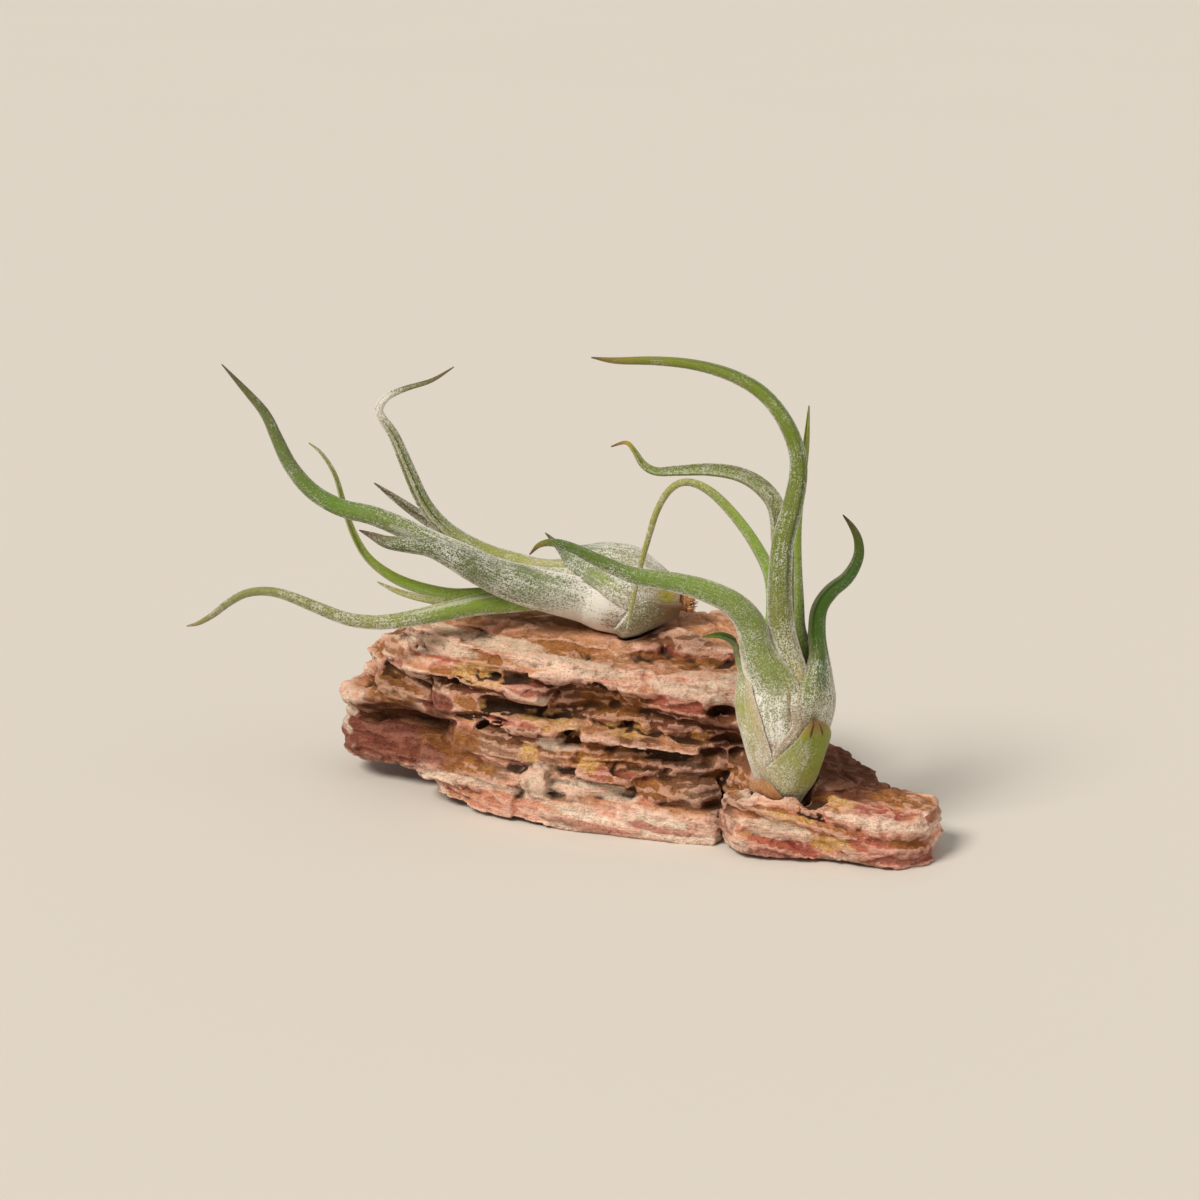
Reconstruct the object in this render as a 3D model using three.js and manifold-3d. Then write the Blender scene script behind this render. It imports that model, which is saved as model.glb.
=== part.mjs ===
// Two medusa head air plants on a layered stone, in millimetres, +Z up.
// One plant stands in a pocket at the stone's low end, the other lies on its top.
// Every leaf is its own solid: a sheath that wraps the bulb, then a channelled blade.
import * as THREE from "three";
import { mergeVertices } from "three/addons/utils/BufferGeometryUtils.js";
import Module from "manifold-3d";

const wasm = await Module();
wasm.setup();

// ---------------------------------------------------------------- driving dimensions
const GAP = 0.35; // clearance between neighbouring pieces
const SHEATH_STEPS = 4; // control sections along a sheath
const OUTER_SIDES = 6; // facets round the outside of a leaf's section
const INNER_SIDES = 6; // facets along its channel
const EDGE_THINNING = 0.3; // share of the thickness lost at a leaf's margins
const HEART_DEPTH = 1; // the bulb's inside, as far below its surface as this, is kept free of stone
const CORE = 0.2; // a leaf's channel never gets narrower than this share of its radius
const TIP_RADIUS = 0.5;
const SMOOTHING = 0.12; // detail smaller than this is dropped
const STONE_SMOOTHING = 0.6; // the same, for the stone before the plants' seats are cut

const STONE_EDGE = 12; // longest straight run of a stone layer's rim
const STONE_CHAMFER = 1.6; // how far a layer's rim is worn back above and below
const STONE_RAGGED = 1.3; // how far the rim wanders

// A bulb: where its foot and its neck are, and its radius at heights along its axis.
const UPRIGHT_BULB = {
  foot: [45.4, -45, 13.5],
  neck: [46, -45, 70],
  zero: [1, 0, 0],
  profile: [
    [0, 6], [4, 7.8], [9, 11], [16, 13.6], [23, 15.6], [30, 17.6], [37, 18.2], [44, 17.6], [50, 16.6],
    [57, 15.6],
  ],
};
const LYING_BULB = {
  foot: [16.4, 4, 68.6],
  neck: [-40, 0, 78.4],
  zero: [0, 0, 1],
  profile: [
    [0, 4.2], [4, 6], [9, 9.4], [16, 13.8], [22, 16.2], [30, 16], [38, 13.9], [45, 11.3], [52, 9.4],
    [58, 8],
  ],
};

// A leaf. azimuth: the side of the bulb that its sheath lies on, in degrees round the bulb's axis.
// wraps: half the angle that its sheath covers.
// layer: how deep it lies under the bulb's surface. These are one number, or a list from foot to top.
// share: 1 for a sheath centred on the axis, less for an inner leaf that stands beside the axis.
// sheath: where the sheath starts and ends along the axis.
// blade: x, y, z and width of the blade, out to its tip.
// curl: half the angle of the rolled blade's section. rings: sections along the solid.
// Each plant's leaves run from the innermost to the outermost.
const UPRIGHT_LEAVES = [
  {
    name: "upright_leaf_tall_arch",
    azimuth: 285, wraps: [150], layer: 6, share: 0.385, sheath: [7, 50],
    curl: 150, twist: -40, thickness: 1.7, rings: 20,
    blade: [
      [44.3, -52.8, 74, 8.8], [43, -55, 83, 8.4], [42.6, -57, 94, 7.7], [43.3, -57, 106.5, 7.2],
      [46, -56.2, 117, 6.7], [47.8, -55, 127.8, 5.9], [46.8, -53.5, 136.5, 5.4], [42.2, -52, 146, 4.9],
      [35, -50.5, 153.6, 4.5], [25, -49, 158.5, 3.9], [14, -47.5, 161, 3.3], [2.5, -46, 161.7, 2.8],
      [-9, -44.5, 161.4, 2.1], [-16.7, -43, 162.1, 0.9],
    ],
  },
  {
    name: "upright_leaf_inner_spike",
    azimuth: 20, wraps: [140], layer: 6, share: 0.385, sheath: [8, 50],
    curl: 145, twist: 20, thickness: 1.5, rings: 14,
    blade: [
      [49.7, -42, 72, 5.6], [49.3, -40.4, 82, 4.6], [48.8, -39, 95, 3.8], [48.8, -38, 106, 3.4],
      [49.8, -37, 118, 2.9], [51, -38, 132, 2.1], [51.8, -40, 146.2, 0.9],
    ],
  },
  {
    name: "upright_leaf_hanging",
    azimuth: 200, wraps: [140], layer: 6, share: 0.385, sheath: [9, 50],
    curl: 140, twist: -30, thickness: 1.4, rings: 20,
    blade: [
      [41.5, -43.4, 72.4, 6.2], [42, -41, 82, 5.4], [40.6, -39, 91, 4.8], [35.8, -37.4, 100.3, 4.2],
      [29.8, -36, 108.6, 3.8], [22, -34.8, 116.6, 3.4], [14.5, -34, 119.9, 2.9], [8.8, -34, 117.8, 2.7],
      [4.5, -34, 111, 2.5], [1.6, -34, 101.5, 2.3], [-1.4, -34, 90, 2], [-3.8, -34, 77.7, 1.6],
      [-5.2, -34, 70.3, 0.9],
    ],
  },
  {
    name: "upright_leaf_curled_tip",
    azimuth: 108, wraps: [64, 60, 54, 46], layer: 4, share: 1, sheath: [9, 48],
    curl: 106, twist: 55, thickness: 1.1, rings: 20,
    blade: [
      [46.3, -36, 70.5, 7.2], [45.4, -33, 82, 7.1], [44.6, -31.6, 96, 6.7], [43, -31, 110, 6.1],
      [38, -31, 117.3, 5.7], [30.5, -31, 121.6, 4.9], [21, -30.5, 123, 4.3], [11, -29.6, 122.4, 3.6],
      [4, -28.8, 122, 3.1], [0, -28.2, 124.2, 2.8], [-2.4, -28, 128, 2.1], [-5.4, -28, 131.3, 1.5],
      [-10.4, -28, 129.8, 0.9],
    ],
  },
  {
    name: "upright_leaf_front",
    azimuth: 243, wraps: [66, 60, 52, 42], layer: 4, share: 1, sheath: [9, 44],
    curl: 128, twist: 0, thickness: 1.1, rings: 19,
    blade: [
      [37, -52.2, 69, 13], [33.6, -56, 79.2, 9.9], [28, -59.4, 86.9, 8.3], [19, -61, 91.9, 7.5],
      [9, -60.8, 94.6, 6.5], [-3.1, -60, 96.4, 5.6], [-13, -58.5, 100.2, 4.6], [-21.3, -57, 104, 3.4],
      [-27.6, -55.8, 105.8, 2.5], [-32.3, -55, 104.8, 1.6], [-34.8, -55, 102.2, 0.9],
    ],
  },
  {
    name: "upright_leaf_right",
    azimuth: 350, wraps: [106, 103, 96, 74, 72], layer: 2, share: 1, sheath: [5, 42],
    curl: 118, twist: -20, thickness: 1, rings: 17,
    blade: [
      [54, -45.5, 64.5, 11.6], [54.7, -45.4, 73, 7.4], [55.4, -44.8, 81, 6.9], [59.2, -44, 86.8, 6.4],
      [64.6, -43, 91, 5.5], [68, -41.8, 97, 4.4], [68, -41, 102.5, 3.4], [66, -41, 107, 2.2],
      [63.1, -41, 110.9, 0.9],
    ],
  },
  {
    name: "upright_leaf_small_left",
    azimuth: 187, wraps: [72, 68, 61, 51, 34], layer: 2, share: 1, sheath: [4, 45],
    curl: 105, twist: 0, thickness: 1, rings: 13,
    blade: [
      [31.8, -45.6, 65, 5.2], [29.9, -47.5, 70, 3.6], [26.8, -50, 73.1, 2.6], [23.1, -51.5, 74.2, 1.8],
      [19.1, -52, 73.4, 0.9],
    ],
  },
  {
    name: "upright_sheath_lower", skin: "sheath",
    azimuth: [304, 304, 305, 307, 310, 309, 304], wraps: [80, 80, 76, 69, 48, 30, 13], layer: 0,
    share: 1, sheath: [2, 33], curl: 25, twist: 0, thickness: 1, rings: 13,
    blade: [[53.2, -61.6, 50, 1.6]],
  },
  {
    name: "upright_sheath_dry", skin: "dry",
    azimuth: [225, 224, 222, 236], wraps: [76, 62, 42, 12], layer: [-3.4, -1.6, -1.3], share: 1,
    sheath: [-2, 12.5], curl: 18, twist: 0, thickness: 0.9, rings: 9,
    blade: [[38.4, -56.3, 27.6, 1.6]],
  },
];

const LYING_LEAVES = [
  {
    name: "lying_leaf_long_upper",
    azimuth: 308, wraps: [150], layer: 4.2, share: 0.385, sheath: [8, 36],
    curl: 145, twist: 30, thickness: 1.7, rings: 20,
    blade: [
      [-33, -4.8, 79, 7.8], [-47, -7, 82.4, 8], [-58, -8.4, 87.6, 8], [-68, -9, 92.3, 7.6],
      [-78.2, -9.4, 97.5, 7], [-88.5, -10, 102.1, 6.5], [-98.6, -10, 104.6, 6], [-107.8, -10, 110, 5.5],
      [-114.6, -10, 118.2, 4.9], [-118.8, -9.5, 127, 4.2], [-122.8, -8.6, 136, 3.4],
      [-129.3, -7, 143.6, 2.3], [-137.1, -4, 151.6, 0.9],
    ],
  },
  {
    name: "lying_leaf_curled_back",
    azimuth: 40, wraps: [150], layer: 4.2, share: 0.385, sheath: [8, 36],
    curl: 140, twist: -35, thickness: 1.6, rings: 20,
    blade: [
      [-32, 4.6, 78.8, 8], [-42, 5, 81, 8], [-51, 5, 84, 7.4], [-58.5, 4.5, 88.2, 6.5], [-66, 4, 94, 5.7],
      [-72.4, 2.6, 102.6, 5.2], [-77, 1, 114, 4.8], [-81.8, 0.4, 126.4, 4], [-85.4, 0, 132, 3.5],
      [-86.6, 0, 135.6, 3.2], [-83.6, 0, 139.8, 2.6], [-77.1, 0, 142.7, 2], [-69, 0, 145.2, 1.5],
      [-61.5, 0, 149.8, 0.9],
    ],
  },
  {
    name: "lying_leaf_lower_long",
    azimuth: 225, wraps: [150], layer: 4.2, share: 0.385, sheath: [8, 36],
    curl: 140, twist: -30, thickness: 1.6, rings: 20,
    blade: [
      [-32, -3.6, 71.6, 7.6], [-44, -4.4, 71, 8], [-54.8, -6.2, 70.4, 7.6], [-65, -8.4, 68.8, 6.8],
      [-75.9, -9.5, 66.8, 6], [-86.5, -10, 65.5, 5.4], [-97.1, -10, 66.5, 5], [-107.6, -10, 70.6, 4.5],
      [-118, -10, 75, 3.9], [-125, -10, 76.3, 3.4], [-131.4, -10, 75.4, 3.1], [-137.2, -10, 72.2, 2.9],
      [-142.3, -10, 68.1, 2.4], [-147.3, -10, 65.1, 1.7], [-151.5, -10, 63.9, 0.9],
    ],
  },
  {
    name: "lying_leaf_spike",
    azimuth: 60, wraps: [130], layer: 9, share: 0.5, sheath: [30, 44],
    curl: 125, twist: 0, thickness: 1.3, rings: 11,
    blade: [
      [-50, 11, 83.4, 4], [-62, 11, 89, 4.2], [-71.5, 10.6, 94.4, 4], [-80.7, 9, 101.6, 3],
      [-89.3, 7, 108.8, 0.9],
    ],
  },
  {
    name: "lying_leaf_rear_short",
    azimuth: 170, wraps: [130], layer: 8, share: 0.5, sheath: [42, 48],
    curl: 125, twist: 0, thickness: 1.3, rings: 12,
    blade: [
      [-46, 2, 69, 3], [-58, 2, 68.6, 3.2], [-67.8, 3, 68.8, 3], [-76, 5.4, 69.6, 2.7], [-83, 8, 71, 2],
      [-89.4, 10, 73.5, 0.9],
    ],
  },
  {
    name: "lying_leaf_rear_long",
    azimuth: 120, wraps: [50, 50, 48, 46], layer: 2.1, share: 1, sheath: [8, 38],
    curl: 104, twist: 40, thickness: 1, rings: 20,
    blade: [
      [-32, 5.6, 71.6, 6.6], [-44, 7, 70.6, 5.4], [-56, 8, 69.6, 4.7], [-66, 11.6, 68.7, 4.4],
      [-78.1, 15.5, 70.6, 4.1], [-86.6, 17.2, 74.4, 3.6], [-93.6, 18.6, 80.4, 3], [-98.2, 19, 89.6, 2.6],
      [-100.8, 19, 99, 2.2], [-103.2, 18.4, 108.6, 1.8], [-107.4, 17, 116.4, 1.3],
      [-111.6, 16, 120.3, 0.9],
    ],
  },
  {
    name: "lying_leaf_front_short",
    azimuth: 238, wraps: [70, 66, 62, 60], layer: 2.1, share: 1, sheath: [8, 38],
    curl: 112, twist: 40, thickness: 1, rings: 17,
    blade: [
      [-33, -5, 76.4, 17], [-41, -8, 78.4, 14], [-49, -11, 81.8, 11.6], [-56, -13.4, 85.8, 9.9],
      [-62.6, -15, 89.7, 8.1], [-69.4, -16, 92.8, 6.3], [-76.3, -16.5, 93.9, 5.5],
      [-83.3, -16.5, 94.8, 4.4], [-88.1, -16, 96.8, 2.6], [-92.7, -15.5, 98.7, 0.9],
    ],
  },
  {
    name: "lying_leaf_top_short",
    azimuth: 350, wraps: [96, 96, 84, 60], layer: 0.1, share: 1, sheath: [5, 38],
    curl: 70, twist: 0, thickness: 1, rings: 14,
    blade: [[-26.4, 4.6, 83, 9.6], [-32.4, 6.4, 91.6, 1.2]],
  },
  {
    name: "lying_sheath_base", skin: "sheath",
    azimuth: [208, 213, 228, 235], wraps: [66, 60, 52, 35], layer: -1.4, share: 1, sheath: [3.2, 21],
    curl: 40, twist: 0, thickness: 1.2, rings: 11,
    blade: [[-9.1, -11.6, 64.2, 3]],
  },
];

// A woody stem foot: heights along the bulb's axis and radii, starting below the first sheath.
const UPRIGHT_STEM = [[-3.2, 5.2], [-1, 6], [2, 4.4], [6, 2.4]];
const LYING_STEM = [[-0.6, 3.6], [1, 4.1], [4, 3.6], [7, 2.4]];

// The stone's layers, from the ground up. z: underside and top.
// corners: x, y round the layer, seen from above.
// dip: right end down; lean: front edge down, in degrees.
const STONE_LAYERS = [
  { // front foot
    z: [-0.8, 13], dip: 4.3, lean: 0, seed: 3,
    corners: [
      [-69, -8], [-57, -18], [-46, -25], [-32, -32], [-20, -37], [-2, -41], [12, -45],
      [24, -47], [28, -38], [36, -20], [32, 8], [6, 25], [-26, 34], [-58, 36], [-68, 20],
    ],
  },
  { // front foot cap
    z: [9, 18.5], dip: 1, lean: 2, seed: 7,
    corners: [
      [-76, -7], [-70, -11], [-56, -20], [-42, -27], [-30, -31], [-14, -35], [4, -37],
      [18, -40], [26, -34], [24, -8], [8, 22], [-30, 36], [-62, 36], [-74, 16],
    ],
  },
  { // cream block
    z: [11, 20.5], dip: 0, lean: 4, seed: 5,
    corners: [
      [-40, -31], [-31, -35], [-28, -26], [-38, -22],
    ],
  },
  { // low ledge
    z: [18.6, 21.2], dip: 2, lean: 4, seed: 9,
    corners: [
      [-23, -33], [-16, -37], [-6, -39], [3, -37], [7, -28], [0, -20], [-18, -20],
    ],
  },
  { // lower middle
    z: [17, 29.5], dip: 1.5, lean: 0, seed: 11,
    corners: [
      [-63, -13], [-54, -20], [-42, -24], [-28, -27], [-12, -28], [6, -29], [18, -30],
      [28, -26], [30, -4], [14, 20], [-10, 30], [-50, 38], [-68, 26],
    ],
  },
  { // slanting plate
    z: [27.6, 30], dip: 4.5, lean: 3, seed: 13,
    corners: [
      [-27, -26], [-16, -30], [-4, -33], [8, -35], [20, -36], [27, -32], [20, -18], [-20, -16],
    ],
  },
  { // pink ledge
    z: [31, 35], dip: 4, lean: 5, seed: 17,
    corners: [
      [-55, -18], [-50, -22], [-42, -25], [-30, -28], [-21, -28], [-17, -21], [-22, -10],
      [-50, -6],
    ],
  },
  { // upper middle
    z: [28, 48], dip: 1, lean: 0, seed: 19,
    corners: [
      [-66, -3], [-56, -12], [-40, -17], [-24, -17], [-6, -21], [10, -25], [26, -27], [38, -22],
      [42, -2], [22, 20], [-12, 30], [-48, 36], [-70, 22],
    ],
  },
  { // left lobe
    z: [8.5, 20.5], dip: -1, lean: 3, seed: 23,
    corners: [
      [-105, 25], [-101, 16], [-95, 12], [-86, 8], [-74, 4], [-58, 0], [-54, 20], [-60, 42],
      [-80, 48], [-98, 40],
    ],
  },
  { // left lobe core
    z: [19, 28], dip: 0, lean: 0, seed: 25,
    corners: [
      [-103, 26], [-99, 19], [-90, 20], [-76, 16], [-58, 10], [-56, 30], [-72, 44], [-94, 40],
    ],
  },
  { // left lobe lip
    z: [26, 32], dip: -4, lean: 2, seed: 29,
    corners: [
      [-103, 25], [-99, 16], [-92, 12], [-84, 9], [-74, 6], [-64, 16], [-64, 38], [-84, 45],
      [-97, 38],
    ],
  },
  { // left body
    z: [29, 46], dip: 0, lean: 2, seed: 31,
    corners: [
      [-94, 24], [-89, 13], [-80, 5], [-70, -1], [-58, -7], [-50, 10], [-54, 34], [-76, 42],
      [-90, 36],
    ],
  },
  { // hanging lobe
    z: [32, 43], dip: 2, lean: 2, seed: 37,
    corners: [
      [-71, -5], [-68, -11], [-61, -16], [-54, -19], [-47, -13], [-50, 2], [-66, 4],
    ],
  },
  { // blunt ledge
    z: [42, 48], dip: 3, lean: 6, seed: 41,
    corners: [
      [-62, -10], [-57, -17], [-48, -21], [-38, -25], [-30, -26], [-27, -19], [-34, -8],
      [-56, -2],
    ],
  },
  { // red layer
    z: [36, 45.5], dip: 6, lean: 3, seed: 43,
    corners: [
      [0, -22], [8, -29], [20, -32], [34, -33], [46, -26], [44, -4], [22, 2], [2, -6],
    ],
  },
  { // left top
    z: [45, 52], dip: 0, lean: 5, seed: 47,
    corners: [
      [-90, 18], [-88, 11], [-80, 4], [-72, 0], [-62, 14], [-72, 34], [-84, 30],
    ],
  },
  { // left shelf
    z: [44.5, 52], dip: -2, lean: 6, seed: 49,
    corners: [
      [-82, 1], [-79, -4], [-70, -9], [-60, -13], [-50, -10], [-54, 6], [-72, 10],
    ],
  },
  { // top
    z: [48.6, 56], dip: 3.5, lean: 5, seed: 53,
    corners: [
      [-80, 6], [-66, -9], [-54, -15], [-42, -19], [-28, -23], [-14, -26], [2, -28], [18, -31],
      [32, -33], [44, -24], [44, 2], [28, 18], [-10, 28], [-48, 31], [-72, 27],
    ],
  },
  { // crest
    z: [54, 61], dip: 2.5, lean: 7, seed: 59,
    corners: [
      [-72, 14], [-64, 2], [-46, -8], [-26, -12], [-8, -16], [6, -12], [10, 12], [-8, 26],
      [-46, 28], [-66, 25],
    ],
  },
  { // right crest
    z: [53, 59.5], dip: 4, lean: 4, seed: 61,
    corners: [
      [2, -2], [14, -13], [30, -16], [42, -10], [42, 8], [28, 22], [8, 26], [-4, 12],
    ],
  },
  { // right shoulder
    z: [1, 24], dip: 11, lean: 0, seed: 67,
    corners: [
      [28, -30], [34, -44], [60, -50], [76, -50], [79, -40], [74, -26], [62, -10], [46, 4],
      [28, 8],
    ],
  },
  { // front block
    z: [0.5, 18], dip: 2.5, lean: -1, seed: 71,
    corners: [
      [25, -45], [27, -52], [31, -57], [38, -59], [48, -60], [57, -62], [70, -65], [78, -68],
      [84, -67], [91, -63], [95, -57], [97, -48], [91, -39], [76, -34], [48, -36],
    ],
  },
  { // front block cap
    z: [15, 20], dip: 4, lean: 3, seed: 73,
    corners: [
      [34, -55], [50, -57.5], [62, -60], [76, -62], [86, -60], [91, -52], [84, -44], [66, -42],
      [50, -40], [36, -46],
    ],
  },
];
// Hollows worn into the stone: centre and radii.
const STONE_HOLLOWS = [
  { at: [-24, -28, 30.5], radii: [5, 12, 2.2] },
  { at: [-5, -27, 32.8], radii: [5, 12, 2] },
  { at: [-17, -24, 39], radii: [13, 9, 6] },
  { at: [27, -33, 40], radii: [5, 13, 3] },
  { at: [28, -35, 28], radii: [10, 15, 5] },
  { at: [-14, -38, 17.4], radii: [9, 9, 1.6] },
  { at: [8, -39, 18.6], radii: [14, 9, 3.2] },
  { at: [-80, 10, 24], radii: [20, 9, 3] },
  { at: [-66, -11, 44.6], radii: [9, 8, 2.2] },
  { at: [-22, -23, 47.4], radii: [12, 8, 2.6] },
  { at: [6, 28, 34], radii: [30, 9, 6] },
];

const SKINS = {
  leaf: { color: 0x7f9a6b, roughness: 0.62, metalness: 0 },
  sheath: { color: 0xb3b9a2, roughness: 0.7, metalness: 0 },
  dry: { color: 0x9a6a41, roughness: 0.85, metalness: 0 },
  stone: { color: 0xa87a62, roughness: 0.9, metalness: 0 },
};

// ---------------------------------------------------------------- helpers
const radians = THREE.MathUtils.degToRad;

// Repeatable draws from 0 to 1.
function draws(seed) {
  let state = seed * 7919 + 17;
  return () => {
    state = (state * 16807) % 2147483647;
    return state / 2147483647;
  };
}

// Value of a table of [position, value] rows, straight between its rows.
function lookUp(table, position) {
  const last = table.length - 1;
  if (position <= table[0][0]) return table[0][1];
  for (let i = 0; i < last; i++) {
    const [from, low] = table[i];
    const [to, high] = table[i + 1];
    if (position <= to) return low + ((high - low) * (position - from)) / (to - from);
  }
  return table[last][1];
}

function solidFrom(geometry) {
  const bare = geometry.clone();
  bare.deleteAttribute("normal");
  bare.deleteAttribute("uv");
  const merged = mergeVertices(bare, 1e-4);
  return new wasm.Manifold(
    new wasm.Mesh({
      numProp: 3,
      vertProperties: new Float32Array(merged.attributes.position.array),
      triVerts: new Uint32Array(merged.index.array),
    }),
  );
}

// A solid's geometry, without any scrap that a cut left loose.
function geometryFrom(solid) {
  const whole = solid.simplify(SMOOTHING).decompose().reduce((a, b) => (a.volume() > b.volume() ? a : b));
  const mesh = whole.getMesh();
  const geometry = new THREE.BufferGeometry();
  geometry.setAttribute("position", new THREE.BufferAttribute(mesh.vertProperties, 3));
  geometry.setIndex(new THREE.BufferAttribute(mesh.triVerts, 1));
  geometry.computeVertexNormals();
  return geometry;
}

// The closed skin of a stack of rings, each with the same number of points.
function stackGeometry(rings, capTriangles) {
  const count = rings[0].length;
  const positions = rings.flat().flatMap((p) => [p.x, p.y, p.z]);
  const index = [];
  for (let i = 0; i < rings.length - 1; i++) {
    for (let j = 0; j < count; j++) {
      const a = i * count + j;
      const b = i * count + ((j + 1) % count);
      index.push(a, b, a + count, b, b + count, a + count);
    }
  }
  const top = (rings.length - 1) * count;
  for (const [a, b, c] of capTriangles(0)) index.push(a, c, b);
  for (const [a, b, c] of capTriangles(rings.length - 1)) index.push(top + a, top + b, top + c);
  const geometry = new THREE.BufferGeometry();
  geometry.setAttribute("position", new THREE.Float32BufferAttribute(positions, 3));
  geometry.setIndex(index);
  return geometry;
}

// ---------------------------------------------------------------- bulbs and leaves
// A bulb's axis with the two directions across it that azimuths are counted from.
function bulbFrame(bulb) {
  const foot = new THREE.Vector3(...bulb.foot);
  const axis = new THREE.Vector3(...bulb.neck).sub(foot).normalize();
  const zero = new THREE.Vector3(...bulb.zero);
  zero.addScaledVector(axis, -zero.dot(axis)).normalize();
  const quarter = new THREE.Vector3().crossVectors(axis, zero);
  return { foot, axis, zero, quarter };
}

function sideOf(frame, azimuth) {
  const angle = radians(azimuth);
  return frame.zero.clone().multiplyScalar(Math.cos(angle)).addScaledVector(frame.quarter, Math.sin(angle));
}

// A number, or a list spread evenly over the sheath, as rows of share and value.
function spread(values) {
  return [values].flat().map((value, i, all) => [i / Math.max(all.length - 1, 1), value]);
}

// Control sections of a leaf: centre, radius, half angle and, on the sheath, outward direction.
function leafKeys(leaf, bulb) {
  const frame = bulbFrame(bulb);
  const [start, end] = leaf.sheath;
  const [azimuths, wraps, layers] = [leaf.azimuth, leaf.wraps, leaf.layer].map(spread);
  const keys = [];
  for (let i = 0; i <= SHEATH_STEPS; i++) {
    const along = i / SHEATH_STEPS;
    const height = start + (end - start) * along;
    const reach = lookUp(bulb.profile, height) - lookUp(layers, along);
    const side = sideOf(frame, lookUp(azimuths, along));
    const centre = frame.foot.clone().addScaledVector(frame.axis, height);
    centre.addScaledVector(side, reach * (1 - leaf.share));
    keys.push({ centre, radius: reach * leaf.share, half: radians(lookUp(wraps, along)), out: side });
  }
  leaf.blade.forEach(([x, y, z, width], i) => {
    const easing = Math.min((i + 1) / 2, 1);
    const half = THREE.MathUtils.lerp(lookUp(wraps, 1), leaf.curl, easing);
    const radius = Math.max(width / 2, TIP_RADIUS);
    keys.push({ centre: new THREE.Vector3(x, y, z), radius, half: radians(half) });
  });
  return keys;
}

// Turns a direction with the path from one tangent to the next, then squares it to the path.
function carry(direction, from, to) {
  const turn = new THREE.Quaternion().setFromUnitVectors(from, to);
  const carried = direction.clone().applyQuaternion(turn);
  return carried.addScaledVector(to, -carried.dot(to)).normalize();
}

// The leaf's section at evenly spaced places along it.
// grow widens it on every side; filled closes its channel.
function leafRings(leaf, bulb, grow, filled) {
  const keys = leafKeys(leaf, bulb);
  // outward directions at the blade's controls, carried on from the sheath
  for (let i = SHEATH_STEPS + 1; i < keys.length; i++) {
    const before = keys[i - 1].centre.clone().sub(keys[i - 2].centre).normalize();
    const after = keys[i].centre.clone().sub(keys[i - 1].centre).normalize();
    keys[i].out = carry(keys[i - 1].out, before, after);
  }
  const centres = new THREE.CatmullRomCurve3(keys.map((k) => k.centre), false, "catmullrom", 0.5);
  const ribs = new THREE.CatmullRomCurve3(
    keys.map((k) => k.centre.clone().addScaledVector(k.out, k.radius)), false, "catmullrom", 0.5,
  );
  const shapes = new THREE.SplineCurve(keys.map((k) => new THREE.Vector2(k.radius, k.half)));
  const last = keys.length - 1;
  const bladeStart = SHEATH_STEPS / last;
  const { axis } = bulbFrame(bulb);
  const rings = [];
  let tangent = axis;
  let out = keys[0].out.clone();
  for (let i = 0; i <= leaf.rings; i++) {
    const s = i / leaf.rings;
    const freed = THREE.MathUtils.smoothstep(s * last, SHEATH_STEPS, SHEATH_STEPS + 2);
    const next = axis.clone().lerp(ribs.getTangent(s), freed).normalize();
    if (s <= bladeStart) {
      const key = Math.min(Math.floor(s * last), SHEATH_STEPS - 1);
      out = keys[key].out.clone().lerp(keys[key + 1].out, s * last - key);
    }
    out = carry(out, tangent, next);
    tangent = next;
    if (s > bladeStart) {
      out.applyAxisAngle(tangent, radians(leaf.twist) / (leaf.rings * (1 - bladeStart)));
    }
    const across = new THREE.Vector3().crossVectors(tangent, out);
    const centre = centres.getPoint(s);
    if (i === 0) centre.addScaledVector(tangent, -grow);
    if (i === leaf.rings) centre.addScaledVector(tangent, grow);
    const shape = shapes.getPoint(s);
    const radius = Math.max(shape.x, TIP_RADIUS);
    const half = Math.min(shape.y + grow / radius, radians(168));
    const point = (angle, r) =>
      centre.clone().addScaledVector(out, r * Math.cos(angle)).addScaledVector(across, r * Math.sin(angle));
    const ring = [];
    for (let k = 0; k <= OUTER_SIDES; k++) {
      ring.push(point(half * ((2 * k) / OUTER_SIDES - 1), radius + grow));
    }
    for (let k = INNER_SIDES; k >= 0; k--) {
      const angle = half * ((2 * k) / INNER_SIDES - 1);
      const edge = (angle / half) ** 2;
      const wall = leaf.thickness * (1 - EDGE_THINNING * edge) + grow;
      const inner = Math.max(radius - wall, radius * CORE * (1 - grow / 2));
      ring.push(point(angle, filled ? inner * 0.2 + 0.4 * radius * edge : inner));
    }
    ring.tangent = tangent;
    ring.out = out.clone();
    ring.across = across;
    rings.push(ring);
  }
  return rings;
}

function leafSolid(leaf, bulb, grow = 0, filled = false) {
  const rings = leafRings(leaf, bulb, grow, filled);
  const caps = (i) => {
    const ring = rings[i];
    const flat = ring.map((p) => new THREE.Vector2(p.dot(ring.out), p.dot(ring.across)));
    const clockwise = THREE.ShapeUtils.isClockWise(flat);
    const triangles = THREE.ShapeUtils.triangulateShape(clockwise ? flat.slice().reverse() : flat, []);
    const last = flat.length - 1;
    return clockwise ? triangles.map((t) => t.map((k) => last - k)) : triangles;
  };
  return solidFrom(stackGeometry(rings, caps));
}

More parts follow.
